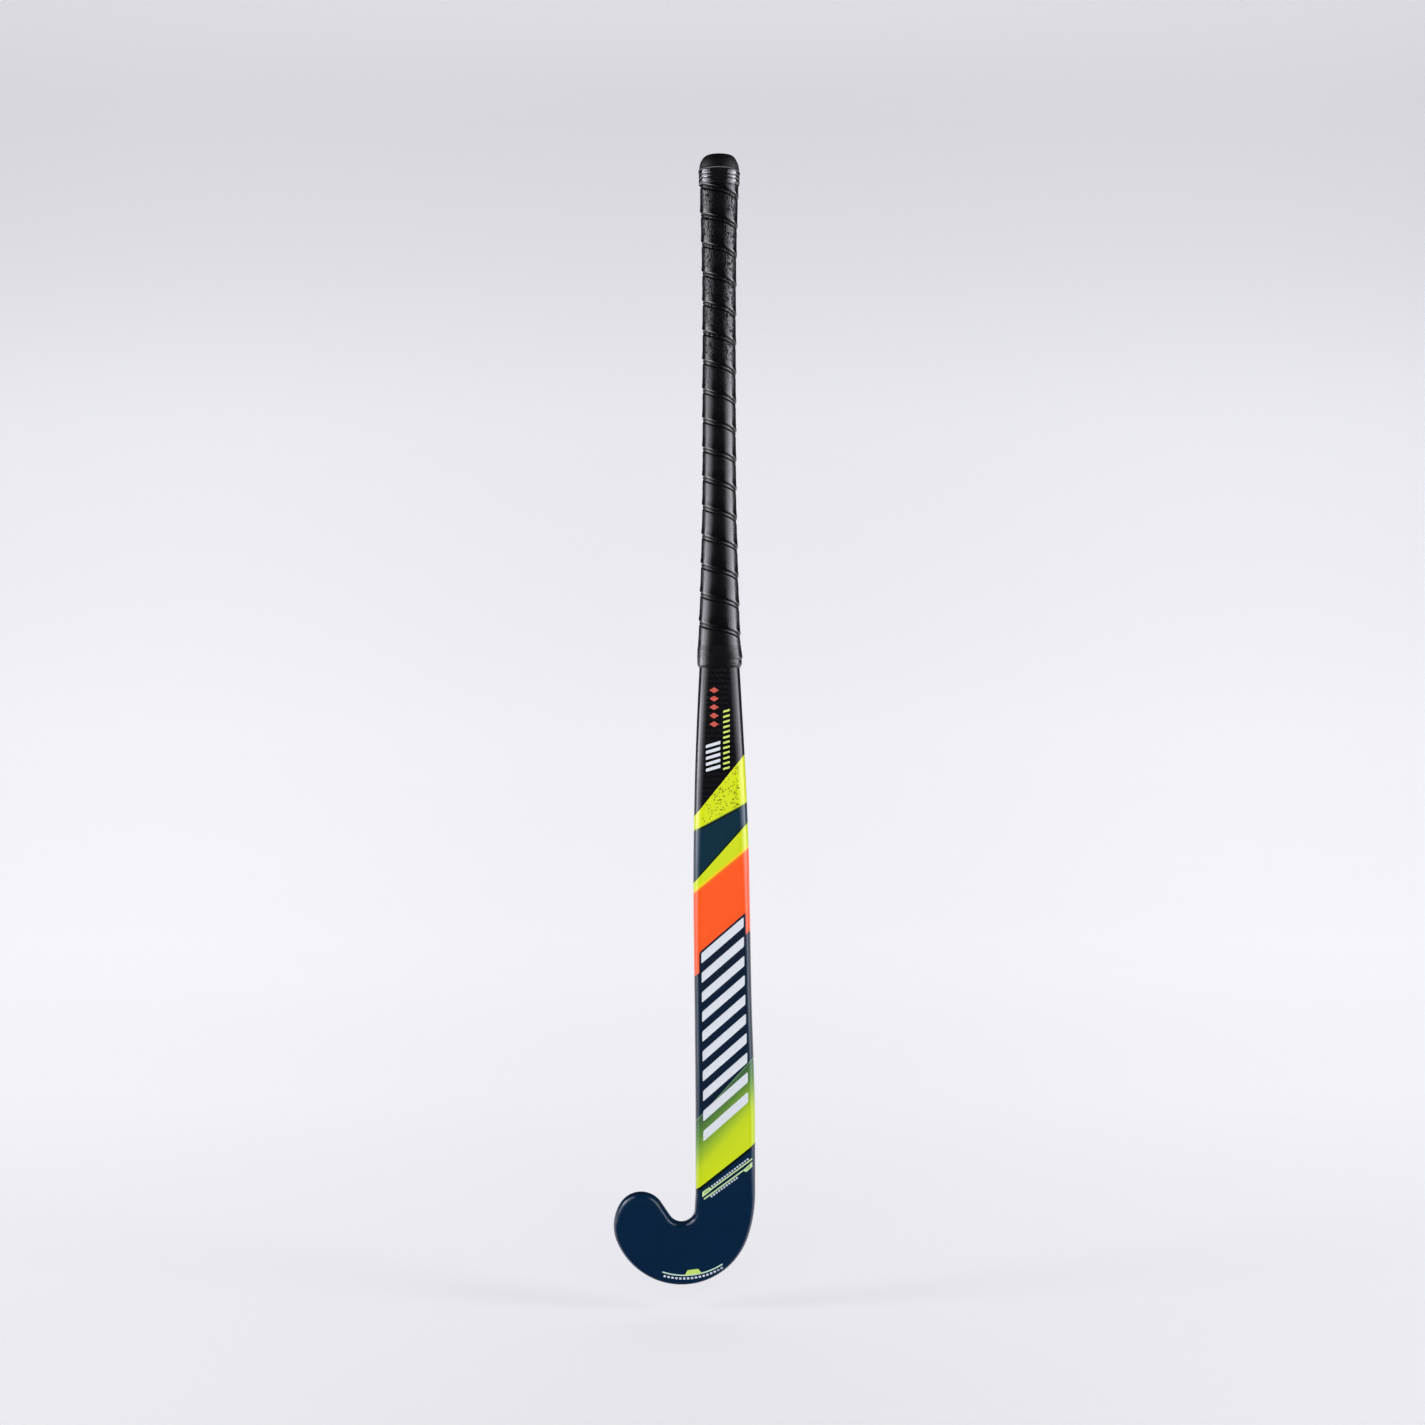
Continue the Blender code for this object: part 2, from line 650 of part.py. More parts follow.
def make_collar_tape(parent):
    """Tape over the grip's lower end, drawn down onto the bare shaft below it."""
    low, high = COLLAR_SPAN
    step_z = GRIP_BOTTOM_Z - GAP
    over_grip = spaced(step_z + 0.0001, high, 0.006)
    inside = [(low, -GAP), (mix(low, step_z, 0.5), -GAP), (step_z, -GAP)]
    inside += [(z, grip_outer(z) - GAP) for z in over_grip]
    outside = [
        (low, -GAP - TAPE_THICKNESS),
        (low + 0.0012, -GAP - 2 * TAPE_THICKNESS),
        (step_z - 0.0007, grip_outer(step_z) - GAP),
    ]
    outside += [(z, grip_outer(z) - GAP - TAPE_THICKNESS) for z in over_grip]
    outer = [shaft_ring(z, WRAP_SIDES, inset) for z, inset in outside]
    inner = [shaft_ring(z, WRAP_SIDES, inset) for z, inset in inside]
    return sleeve("collar_tape", outer, inner, "vinyl_black", parent)


def main():
    clear_scene()
    stick = bpy.data.objects.new("hockey_stick", None)
    bpy.context.scene.collection.objects.link(stick)
    shell = make_shell(stick)
    make_guards(shell, stick)
    make_inner_tube("inner_tube_left", -1, stick)
    make_inner_tube("inner_tube_right", 1, stick)
    make_head_core(stick)
    make_butt_plug(stick)
    make_butt_cap(stick)
    make_grip_liner(stick)
    make_grip_tape(stick)
    make_top_tape(stick)
    make_collar_tape(stick)


main()
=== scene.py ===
import random
from math import acos, asin, atan2, ceil, cos, degrees, dist, exp, hypot, pi, radians, sin, sqrt

import bmesh
import bpy
import numpy as np
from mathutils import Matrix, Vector, noise


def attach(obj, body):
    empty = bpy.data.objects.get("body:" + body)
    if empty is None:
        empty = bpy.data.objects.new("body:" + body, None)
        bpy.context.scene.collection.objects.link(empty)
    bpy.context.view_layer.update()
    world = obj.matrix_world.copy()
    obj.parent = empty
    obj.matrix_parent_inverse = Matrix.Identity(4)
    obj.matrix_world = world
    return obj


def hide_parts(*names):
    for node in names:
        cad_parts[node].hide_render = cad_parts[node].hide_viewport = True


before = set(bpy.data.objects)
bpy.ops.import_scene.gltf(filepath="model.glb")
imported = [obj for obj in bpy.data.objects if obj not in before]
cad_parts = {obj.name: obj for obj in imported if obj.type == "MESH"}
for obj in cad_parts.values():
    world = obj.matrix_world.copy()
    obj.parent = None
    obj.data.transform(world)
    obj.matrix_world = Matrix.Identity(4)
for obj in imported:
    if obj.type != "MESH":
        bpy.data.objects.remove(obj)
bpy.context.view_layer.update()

# ---- Dimensions of the stick, in metres, the same as the CAD part's ----

LENGTH = 0.927
FACE_Y = -0.0211
GAP = 0.0003
SOLE_CENTRE = (-0.0025, 0.0578)
SOLE_RADIUS = 0.0578
HEEL_RADIUS = 0.1128
HEEL_JOIN = radians(-18.1)
TOE_RADIUS = 0.0343
TOE_JOIN = radians(204.2)
TOE_TOP_RADIUS = 0.0204
TOE_TOP_JOIN = radians(148.6)
CROOK_CENTRE = (-0.0026, 0.0623)
CROOK_RADIUS = 0.0109

# Height, left edge and right edge of the bare shaft.
SHAFT_EDGES = (
    (0.0750, 0.0090, 0.0580), (0.1001, 0.0090, 0.0580), (0.1495, 0.0089, 0.0578),
    (0.2306, 0.0080, 0.0554), (0.3129, 0.0070, 0.0539), (0.3545, 0.0071, 0.0531),
    (0.3961, 0.0078, 0.0515), (0.4376, 0.0090, 0.0494), (0.4791, 0.0107, 0.0470),
    (0.5040, 0.0120, 0.0455), (0.5286, 0.0133, 0.0439), (0.5619, 0.0147, 0.0426),
    (0.6031, 0.0158, 0.0414), (0.6443, 0.0167, 0.0404), (0.7265, 0.0168, 0.0400),
    (0.8083, 0.0168, 0.0400), (0.8502, 0.0161, 0.0405), (0.8710, 0.0155, 0.0410),
    (0.8909, 0.0149, 0.0417), (0.9270, 0.0148, 0.0422),
)

BOW = 0.022
BOW_START_Z = 0.056
BOW_STEEP_Z = 0.150
BOW_STRAIGHT_Z = 0.420

FACE_DEPTH = 0.0085
BACK_DEPTH = 0.0140
TOE_BACK_DEPTH = 0.0118
HANDLE_DEPTH = 0.0124
FACE_CORNER = 0.0055
BACK_SHOULDER = 0.0190
BACK_POWER = 2.2
HOOK_HALF_WIDTH = 0.021
OVAL_START_Z = 0.250
OVAL_END_Z = 0.600

WALL = 0.0025
TUBE_WALL = 0.0009
INNER_GAP = 0.0004
SHELL_TOP_Z = 0.9135
TUBE_BOTTOM_Z = 0.0950
TUBE_SPLICE_Z = 0.4900
TUBE_TOP_Z = 0.8820

GUARD_THICKNESS = 0.0006
GUARD_PROUD = -0.00005
HEEL_GUARD_SPAN = (radians(-42), radians(-112))
HEEL_GUARD_WRAP = (radians(-42), radians(36))
EDGE_GUARD_SPAN = (0.080, 0.205)
EDGE_GUARD_WRAP = (radians(150), radians(222))

GRIP_INNER = -0.0009
GRIP_THICKNESS = 0.0013
GRIP_END_THICKNESS = 0.0008
GRIP_TIP_THICKNESS = 0.0003
GRIP_TIP_TOP_Z = 0.5150
GRIP_SKIVE_TOP_Z = 0.532
GRIP_PITCH = 0.02392
GRIP_SEAM_Z = 0.8500
GRIP_BOTTOM_Z = 0.5085
GRIP_TOP_Z = 0.9135
GRIP_END_WIDTH = 0.003
TAPE_THICKNESS = 0.0003
TAPE_OUTER = GRIP_INNER - GRIP_THICKNESS - GAP - TAPE_THICKNESS
TOP_TAPE_SPAN = (0.9020, 0.9140)
TOP_TAPE_TURNS = (0.9020, 0.9034, 0.9068, 0.9097, 0.9140)  # where one turn meets the next
COLLAR_SPAN = (0.5060, 0.5245)
COLLAR_BULGE = (0.5130, 0.5138, 0.5145, 0.5215)  # heights where it starts, is full, fades, ends
COLLAR_FOLD = (0.5088, 0.5092, 0.5096, 0.5128)
CAP_BOTTOM_Z = 0.9143
CAP_FOOT_Z = CAP_BOTTOM_Z + 0.0012  # where the lip ends and the dome starts
CAP_FLAT_INSET = 0.0055
CAP_LIP_Z = 0.9136
CAP_LIP_HEIGHT = 0.0009
CAP_RING_TURN = 38.0  # how far up the dome its ring lies, in degrees
CAP_RING_SPREAD = 3.0
CAP_RING_DEPTH = 0.00025
CAP_DROOP = 0.0017
CAP_DROOP_SPAN = (0.0367, 0.0453)  # the lip hangs lower from here to the right edge

SKIN_SIDES = 96
CAVITY_SIDES = 40
WRAP_SIDES = 120
GRIP_SIDES = 90


# ---- Curves and sections, as in the part ----


def clamped(t):
    return min(max(t, 0.0), 1.0)


def smoothstep(start, end, value):
    t = clamped((value - start) / (end - start))
    return t * t * (3 - 2 * t)


def window(value, start, full, fading, end):
    """Rises from 0 to 1 between the first two places and falls back between the last two."""
    return smoothstep(start, full, value) * (1 - smoothstep(fading, end, value))


def mix(low, high, share):
    return low + (high - low) * share


def polar(centre, distance, angle):
    return (centre[0] + distance * cos(angle), centre[1] + distance * sin(angle))


HEEL_CENTRE = polar(SOLE_CENTRE, SOLE_RADIUS - HEEL_RADIUS, HEEL_JOIN)
TOE_CENTRE = polar(SOLE_CENTRE, SOLE_RADIUS - TOE_RADIUS, TOE_JOIN)
TOE_TOP_CENTRE = polar(TOE_CENTRE, TOE_RADIUS - TOE_TOP_RADIUS, TOE_TOP_JOIN)

REACH_X = CROOK_CENTRE[0] - TOE_TOP_CENTRE[0]
REACH_Z = CROOK_CENTRE[1] - TOE_TOP_CENTRE[1]
REACH = hypot(REACH_X, REACH_Z)
LINE_ANGLE = atan2(REACH_Z, REACH_X) + acos((TOE_TOP_RADIUS + CROOK_RADIUS) / REACH)
LINE_NORMAL = (cos(LINE_ANGLE), sin(LINE_ANGLE))
LINE_LENGTH = sqrt(REACH**2 - (TOE_TOP_RADIUS + CROOK_RADIUS) ** 2)
LINE_START = [c - CROOK_RADIUS * n for c, n in zip(CROOK_CENTRE, LINE_NORMAL)]
LINE_DIRECTION = (-LINE_NORMAL[1], LINE_NORMAL[0])
OUTER_ARCS = (
    (HEEL_CENTRE, HEEL_RADIUS, HEEL_JOIN, 0.0),
    (SOLE_CENTRE, SOLE_RADIUS, TOE_JOIN - 2 * pi, HEEL_JOIN),
    (TOE_CENTRE, TOE_RADIUS, TOE_TOP_JOIN - 2 * pi, TOE_JOIN - 2 * pi),
    (TOE_TOP_CENTRE, TOE_TOP_RADIUS, LINE_ANGLE - 2 * pi, TOE_TOP_JOIN - 2 * pi),
)


def dot(first, second):
    return first[0] * second[0] + first[1] * second[1]


def within(angle, low, high, slack=1e-7):
    return (angle - low + slack) % (2 * pi) <= high - low + 2 * slack


def edge_distance(x, z):
    """Distance from a point inside the hook to its outline."""
    found = []
    for (cx, cz), radius, low, high in OUTER_ARCS:
        if within(atan2(z - cz, x - cx), low, high):
            found.append(radius - hypot(x - cx, z - cz))
    cx, cz = CROOK_CENTRE
    if within(atan2(z - cz, x - cx), LINE_ANGLE - pi, 0.0):
        found.append(hypot(x - cx, z - cz) - CROOK_RADIUS)
    from_start = (x - LINE_START[0], z - LINE_START[1])
    if 0 <= dot(from_start, LINE_DIRECTION) <= LINE_LENGTH:
        found.append(-dot(from_start, LINE_NORMAL))
    return min(found)


def arc_crossings(direction, centre, radius):
    to_centre = (centre[0] - CROOK_CENTRE[0], centre[1] - CROOK_CENTRE[1])
    middle = dot(to_centre, direction)
    aside = to_centre[0] * direction[1] - to_centre[1] * direction[0]
    half = sqrt(max(radius**2 - aside**2, 0.0))
    return middle - half, middle + half


def ray_exit(angle, inset):
    direction = (cos(angle), sin(angle))
    for centre, radius, low, high in OUTER_ARCS:
        far = arc_crossings(direction, centre, radius - inset)[1]
        x, z = polar(CROOK_CENTRE, far, angle)
        if within(atan2(z - centre[1], x - centre[0]), low, high, 1e-6):
            return far
    raise ValueError("the ray leaves through no arc")


def ray_entry(angle, inset):
    if within(angle, LINE_ANGLE - pi, 0.0):
        return CROOK_RADIUS + inset
    direction = (cos(angle), sin(angle))
    distance = (CROOK_RADIUS + inset) / -dot(direction, LINE_NORMAL)
    if distance * dot(direction, LINE_DIRECTION) <= LINE_LENGTH:
        return distance
    return arc_crossings(direction, TOE_TOP_CENTRE, TOE_TOP_RADIUS - inset)[0]


def last_ray(inset):
    radius = TOE_TOP_RADIUS - inset
    angle = atan2(-REACH_Z, -REACH_X) - asin(radius / REACH)
    return angle, sqrt(REACH**2 - radius**2)


def shaft_edges(z):
    rows = SHAFT_EDGES
    if z < rows[0][0]:
        right = HEEL_CENTRE[0] + sqrt(HEEL_RADIUS**2 - (z - HEEL_CENTRE[1]) ** 2)
        share = smoothstep(CROOK_CENTRE[1], rows[0][0], z)
        return mix(CROOK_CENTRE[0] + CROOK_RADIUS, rows[0][1], share), right
    i = max(k for k in range(len(rows) - 1) if rows[k][0] <= z)
    span = rows[i + 1][0] - rows[i][0]
    t = (z - rows[i][0]) / span
    edges = []
    for side in (1, 2):
        slopes = []
        for k in (i, i + 1):
            before, after = max(k - 1, 0), min(k + 1, len(rows) - 1)
            rise = rows[after][side] - rows[before][side]
            slopes.append(span * rise / (rows[after][0] - rows[before][0]))
        start, end = rows[i][side], rows[i + 1][side]
        edge = (2 * t**3 - 3 * t**2 + 1) * start + (t**3 - 2 * t**2 + t) * slopes[0]
        edges.append(edge + (3 * t**2 - 2 * t**3) * end + (t**3 - t**2) * slopes[1])
    return edges


def ramp_area(t):
    return clamped(t) ** 3 - clamped(t) ** 4 / 2


BOW_RISE = BOW_STEEP_Z - BOW_START_Z
BOW_FALL = BOW_STRAIGHT_Z - BOW_STEEP_Z
HANDLE_SLOPE = (BOW_RISE + BOW_FALL) / 2 / (BOW_FALL / 2 + LENGTH - BOW_STRAIGHT_Z)
BOW_PEAK = 0.5 - sin(asin(1 - 2 / (1 + HANDLE_SLOPE)) / 3)
BOW_AREA = BOW_RISE / 2 + BOW_FALL * (BOW_PEAK - (1 + HANDLE_SLOPE) * ramp_area(BOW_PEAK))
BOW_SLOPE = BOW / BOW_AREA


def face_y(z):
    fall = clamped((z - BOW_STEEP_Z) / BOW_FALL)
    rise = BOW_RISE * ramp_area((z - BOW_START_Z) / BOW_RISE)
    rise += BOW_FALL * (fall - (1 + HANDLE_SLOPE) * ramp_area(fall))
    rise -= HANDLE_SLOPE * max(z - BOW_STRAIGHT_Z, 0.0)
    return FACE_Y + BOW_SLOPE * rise


def section_point(x, z, reach, inset, half_width, toe, front):
    oval = smoothstep(OVAL_START_Z, OVAL_END_Z, z)
    face_depth = mix(FACE_DEPTH, HANDLE_DEPTH, oval)
    middle = face_y(z) + face_depth
    if front:
        corner = mix(FACE_CORNER, half_width, oval) - inset
        t = min(reach / corner, 1.0)
        return (x, middle - (face_depth - inset) * sqrt(max(1 - (1 - t) ** 2, 0.0)), z)
    back_depth = mix(mix(BACK_DEPTH, TOE_BACK_DEPTH, toe), HANDLE_DEPTH, oval) - inset
    shoulder = min(mix(BACK_SHOULDER, half_width, oval), half_width) - inset
    power = mix(BACK_POWER, 2.0, oval)
    t = min(reach / shoulder, 1.0)
    return (x, middle + back_depth * max(1 - (1 - t) ** power, 0.0) ** (1 / power), z)


def shaft_middle(z):
    """Middle and half width of the bare shaft."""
    left, right = shaft_edges(z)
    return (left + right) / 2, (right - left) / 2


def shaft_point(z, theta, inset):
    middle, half_width = shaft_middle(z)
    side = cos(theta)
    x = middle + (half_width - inset) * side
    reach = max((half_width - inset) * (1 - abs(side)), 0.0)
    return section_point(x, z, reach, inset, half_width, 0.0, sin(theta) >= 0)


def hook_point(angle, theta, inset):
    near, far = ray_entry(angle, inset), ray_exit(angle, inset)
    out = (near + far) / 2 + (far - near) / 2 * cos(theta)
    x, z = polar(CROOK_CENTRE, out, angle)
    on_edge = abs(sin(theta)) < 1e-9
    reach = 0.0 if on_edge else max(edge_distance(x, z) - inset, 0.0)
    toe = smoothstep(radians(90), radians(200), -angle)
    half_width = (far - near) / 2 + inset
    return section_point(x, z, reach, inset, max(half_width, HOOK_HALF_WIDTH), toe, sin(theta) >= 0)


def front_point(x, z, outset):
    """Point over (x, z), a little outside the playing side."""
    if z >= CROOK_CENTRE[1]:
        middle, half_width = shaft_middle(z)
        reach = half_width - abs(x - middle)
    else:
        half_width = HOOK_HALF_WIDTH
        reach = edge_distance(x, z)
    return section_point(x, z, max(reach + outset, 0.0), -outset, half_width, 0.0, True)


def angles(count):
    return [2 * pi * i / count for i in range(count)]


def shaft_ring(z, count, inset):
    return [shaft_point(z, theta, inset) for theta in angles(count)]


def hook_rings(around, count, tip_count, inset):
    end, reach = last_ray(inset)
    bend = radians(-150)
    rays = [bend * i / count for i in range(1, count + 1)]
    rays += [end + (bend - end) * (1 - i / tip_count) ** 2 for i in range(1, tip_count)]
    rings = [[hook_point(ray, theta, inset) for theta in angles(around)] for ray in rays]
    x, z = polar(CROOK_CENTRE, reach, end)
    return rings + [[(x, face_y(z) + FACE_DEPTH, z)]]


def spaced(start, end, step):
    count = max(round(abs(end - start) / step), 1)
    return [start + (end - start) * i / count for i in range(count + 1)]


# ---- Mesh helpers ----


def join_rings(bm, lower, upper):
    if len(upper) == 1:
        lower, upper = upper, lower
    count = len(upper)
    for i in range(count):
        j = (i + 1) % count
        if len(lower) == 1:
            bm.faces.new((lower[0], upper[i], upper[j]))
        else:
            bm.faces.new((lower[i], lower[j], upper[j], upper[i]))


def loft(bm, rings, closed=False):
    made = [[bm.verts.new(point) for point in ring] for ring in rings]
    for lower, upper in zip(made, made[1:]):
        join_rings(bm, lower, upper)
    if closed:
        bm.faces.new(made[0])
        bm.faces.new(made[-1])
    return made


def grid(bm, rows):
    for low, high in zip(rows, rows[1:]):
        for i in range(len(low) - 1):
            bm.faces.new((low[i], low[i + 1], high[i + 1], high[i]))


def add_object(name, data):
    obj = bpy.data.objects.new(name, data)
    bpy.context.scene.collection.objects.link(obj)
    return obj


def add_mesh(name, bm, paint):
    mesh = bpy.data.meshes.new(name)
    bm.to_mesh(mesh)
    bm.free()
    mesh.shade_smooth()
    mesh.materials.append(paint)
    return add_object(name, mesh)


def mark_points(obj, attribute, values):
    """Gives each vertex a number that the material reads."""
    obj.data.attributes.new(attribute, "FLOAT", "POINT").data.foreach_set("value", values)


def finish_mesh(name, bm, paint, replaced=(), sharp=35):
    bmesh.ops.recalc_face_normals(bm, faces=bm.faces)
    obj = add_mesh(name, bm, paint)
    obj.data.set_sharp_from_angle(angle=radians(sharp))
    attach(obj, "root")
    if replaced:
        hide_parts(*replaced)
    return obj


def sleeve(name, outer, inner, paint, replaced, sharp=35):
    bm = bmesh.new()
    outside = loft(bm, outer)
    inside = loft(bm, inner)
    join_rings(bm, outside[0], inside[0])
    join_rings(bm, outside[-1], inside[-1])
    return finish_mesh(name, bm, paint, replaced, sharp)


def split(bm, point, normal, slack=0.0):
    geometry = bm.verts[:] + bm.edges[:] + bm.faces[:]
    bmesh.ops.bisect_plane(bm, geom=geometry, dist=slack, plane_co=point, plane_no=normal)


def cut(bm, point, normal, down_to=-1.0):
    """Removes what lies on the normal's side of a plane, above a height, and closes the cut."""
    split(bm, point, normal, 1e-7)
    outer = []
    for face in bm.faces:
        centre = face.calc_center_median()
        if (centre - point).dot(normal) > 0 and centre.z > down_to:
            outer.append(face)
    bmesh.ops.delete(bm, geom=outer, context="FACES")
    edges = [e for e in bm.edges if len(e.link_faces) == 1]
    if edges:
        bmesh.ops.triangle_fill(bm, use_beauty=True, edges=edges, normal=normal)


# ---- Node materials ----


def srgb(red, green, blue):
    """Linear colour of an 8-bit display colour."""
    values = [c / 255 for c in (red, green, blue)]
    linear = [c / 12.92 if c <= 0.04045 else ((c + 0.055) / 1.055) ** 2.4 for c in values]
    return (*linear, 1.0)


class Paint:
    """One node material: a Principled shader and helpers for the nodes that drive it."""

    def __init__(self, name, colour, roughness, **values):
        self.material = bpy.data.materials.new(name)
        self.material.use_nodes = True
        self.tree = self.material.node_tree
        self.shader = self.tree.nodes["Principled BSDF"]
        self.colour = colour
        self.shader.inputs["Base Color"].default_value = colour
        self.shader.inputs["Roughness"].default_value = roughness
        for key, value in values.items():
            self.shader.inputs[key.replace("_", " ")].default_value = value
        self.place = self.node("ShaderNodeTexCoord").outputs["Object"]

    def node(self, kind, inputs=None, **settings):
        made = self.tree.nodes.new(kind)
        for key, value in settings.items():
            setattr(made, key, value)
        for key, value in (inputs or {}).items():
            if isinstance(value, bpy.types.NodeSocket):
                self.tree.links.new(value, made.inputs[key])
            else:
                made.inputs[key].default_value = value
        return made

    def attribute(self, name):
        return self.node("ShaderNodeAttribute", attribute_name=name).outputs["Fac"]

    def math(self, operation, first, second=0.5):
        return self.node("ShaderNodeMath", {0: first, 1: second}, operation=operation).outputs[0]

    def times(self, first, second):
        return self.math("MULTIPLY", first, second)

    def mapped(self, scale, turn=(0.0, 0.0, 0.0)):
        inputs = {"Vector": self.place, "Scale": scale, "Rotation": turn}
        return self.node("ShaderNodeMapping", inputs).outputs[0]

    def noise(self, scale, detail=3.0, vector=None):
        inputs = {"Vector": vector or self.place, "Scale": scale, "Detail": detail}
        return self.node("ShaderNodeTexNoise", inputs).outputs[0]

    def cells(self, scale, vector=None):
        made = self.node("ShaderNodeTexVoronoi", {"Vector": vector or self.place, "Scale": scale})
        return made.outputs["Distance"], made.outputs["Color"]

    def remap(self, value, low, high, to_low=0.0, to_high=1.0):
        inputs = {0: value, 1: low, 2: high, 3: to_low, 4: to_high}
        return self.node("ShaderNodeMapRange", inputs, clamp=True).outputs[0]

    def blend(self, share, first, second):
        made = self.node("ShaderNodeMix", {0: share, 6: first, 7: second}, data_type="RGBA")
        return made.outputs[2]

    def part(self, axis, vector=None):
        return self.node("ShaderNodeSeparateXYZ", {0: vector or self.place}).outputs[axis]

    def across(self, edge):
        """Distance above a paint edge's plane."""
        point, normal = plane_of(edge)
        kind = "ShaderNodeVectorMath"
        moved = self.node(kind, {0: self.place, 1: point}, operation="SUBTRACT").outputs[0]
        return self.node(kind, {0: moved, 1: normal}, operation="DOT_PRODUCT").outputs["Value"]

    def bump(self, height, distance, strength):
        inputs = {"Height": height, "Distance": distance, "Strength": strength}
        return self.node("ShaderNodeBump", inputs).outputs[0]

    def drive(self, **outputs):
        """Links nodes to the shader's inputs and returns the finished material."""
        for key, value in outputs.items():
            self.tree.links.new(value, self.shader.inputs[key.replace("_", " ")])
        return self.material


def plane_of(edge):
    """A point on a paint edge and the upward normal of the plane that cuts the shaft along it."""
    (x0, z0), (x1, z1) = edge
    normal = Vector((z0 - z1, 0.0, x1 - x0)).normalized()
    return Vector((x0, 0.0, z0)), normal


# ---- Paint bands ----

# Each edge crosses the playing side from left to right.
GRIP_EDGE = ((0.010, 0.512), (0.050, 0.512))
BLACK_EDGE = ((0.0089, 0.3843), (0.0494, 0.4343))
NEON_EDGE = ((0.0084, 0.3710), (0.0517, 0.3942))
TEAL_EDGE = ((0.0084, 0.3289), (0.0520, 0.3777))
LIME_EDGE = ((0.0081, 0.3202), (0.0527, 0.3570))
ORANGE_EDGE = ((0.0083, 0.2511), (0.0539, 0.2885))
NAVY_EDGE = ((0.0091, 0.1345), (0.0567, 0.1858))
GREEN_EDGE = ((0.0106, 0.0798), (0.0587, 0.1173))
HOOK_TOP_Z = 0.0772  # above the toe, and below every paint edge
FINE_TOP_Z = 0.530  # the skin has finer rings from here down


def lacquer(name, roughness=0.33):
    """Clear-coated paint with a faint orange peel."""
    gloss = {"Specular_IOR_Level": 0.0, "Coat_Weight": 1.0, "Coat_Roughness": 0.20}
    paint = Paint(name, srgb(20, 20, 25), roughness, **gloss)
    peel = paint.noise(420.0, 2.0)
    paint.drive(Normal=paint.bump(peel, 0.00002, 0.5))
    soft = paint.noise(38.0, 4.0)
    paint.drive(Roughness=paint.remap(soft, 0.3, 0.7, roughness - 0.04, roughness + 0.05))
    return paint


def varied(paint, share, colour, darker, lighter):
    """The colour, darkened by one share of itself and lightened by another."""
    dark = [c * (1 - darker) for c in colour[:3]] + [1.0]
    light = [min(c * (1 + lighter), 1.0) for c in colour[:3]] + [1.0]
    return paint.blend(share, dark, light)


def shaded(paint, colour, amount):
    """The colour with a slight cloudiness."""
    return varied(paint, paint.noise(26.0, 4.0), colour, amount, amount)


def weave(paint, size, turn=0.785):
    """2/2 twill: 1 where a tow runs one way and 0 where it runs the other."""
    turned = paint.mapped((1 / size,) * 3, (0.0, turn, 0.0))
    u = paint.math("FLOOR", paint.part("X", turned))
    v = paint.math("FLOOR", paint.part("Z", turned))
    step = paint.times(paint.math("ADD", u, v), 0.25)
    return paint.math("LESS_THAN", paint.math("FRACT", step), 0.49)


def edge_line(paint, base, edge, offset, half_width, colour, strength):
    """A thin line beside a paint edge, offset above it."""
    away = paint.math("SUBTRACT", paint.across(edge), offset)
    distance = paint.math("ABSOLUTE", away)
    share = paint.remap(distance, half_width * 0.6, half_width * 1.4, 1.0, 0.0)
    return paint.blend(paint.times(share, strength), base, colour)


def black_paint():
    paint = lacquer("paint_black_carbon", 0.34)
    base = shaded(paint, srgb(9, 9, 13), 0.15)
    tow = paint.remap(weave(paint, 0.0016), 0.0, 1.0, 0.0, 0.35)
    base = paint.blend(tow, base, srgb(30, 30, 36))
    # Painted glints: pale specks in the colour where the weave catches the light, more of them towards
    # the top of the black.
    distance, tint = paint.cells(900.0)
    painted_glints = paint.math("LESS_THAN", distance, 0.16)
    painted_glints = paint.times(painted_glints, paint.math("GREATER_THAN", paint.part("X", tint), 0.80))
    painted_glints = paint.times(painted_glints, paint.remap(paint.part("Z"), 0.40, 0.49, 0.25, 0.9))
    return paint.drive(Base_Color=paint.blend(painted_glints, base, srgb(92, 92, 98)))


def neon_paint():
    paint = lacquer("paint_neon_speckled")
    base = shaded(paint, srgb(214, 227, 4), 0.03)
    distance, tint = paint.cells(1500.0)
    dust = paint.math("LESS_THAN", distance, 0.25)
    dust = paint.times(dust, paint.math("GREATER_THAN", paint.part("Y", tint), 0.85))
    base = paint.blend(dust, base, srgb(150, 170, 20))
    base = edge_line(paint, base, NEON_EDGE, 0.0, 0.0008, srgb(60, 84, 22), 0.8)
    return paint.drive(Base_Color=base)


def plain_paint(name, colour, cloudiness, *lines):
    """One colour, with thin lines beside its borders."""
    paint = lacquer(name)
    base = shaded(paint, colour, cloudiness)
    for line in lines:
        base = edge_line(paint, base, *line)
    return paint.drive(Base_Color=base)


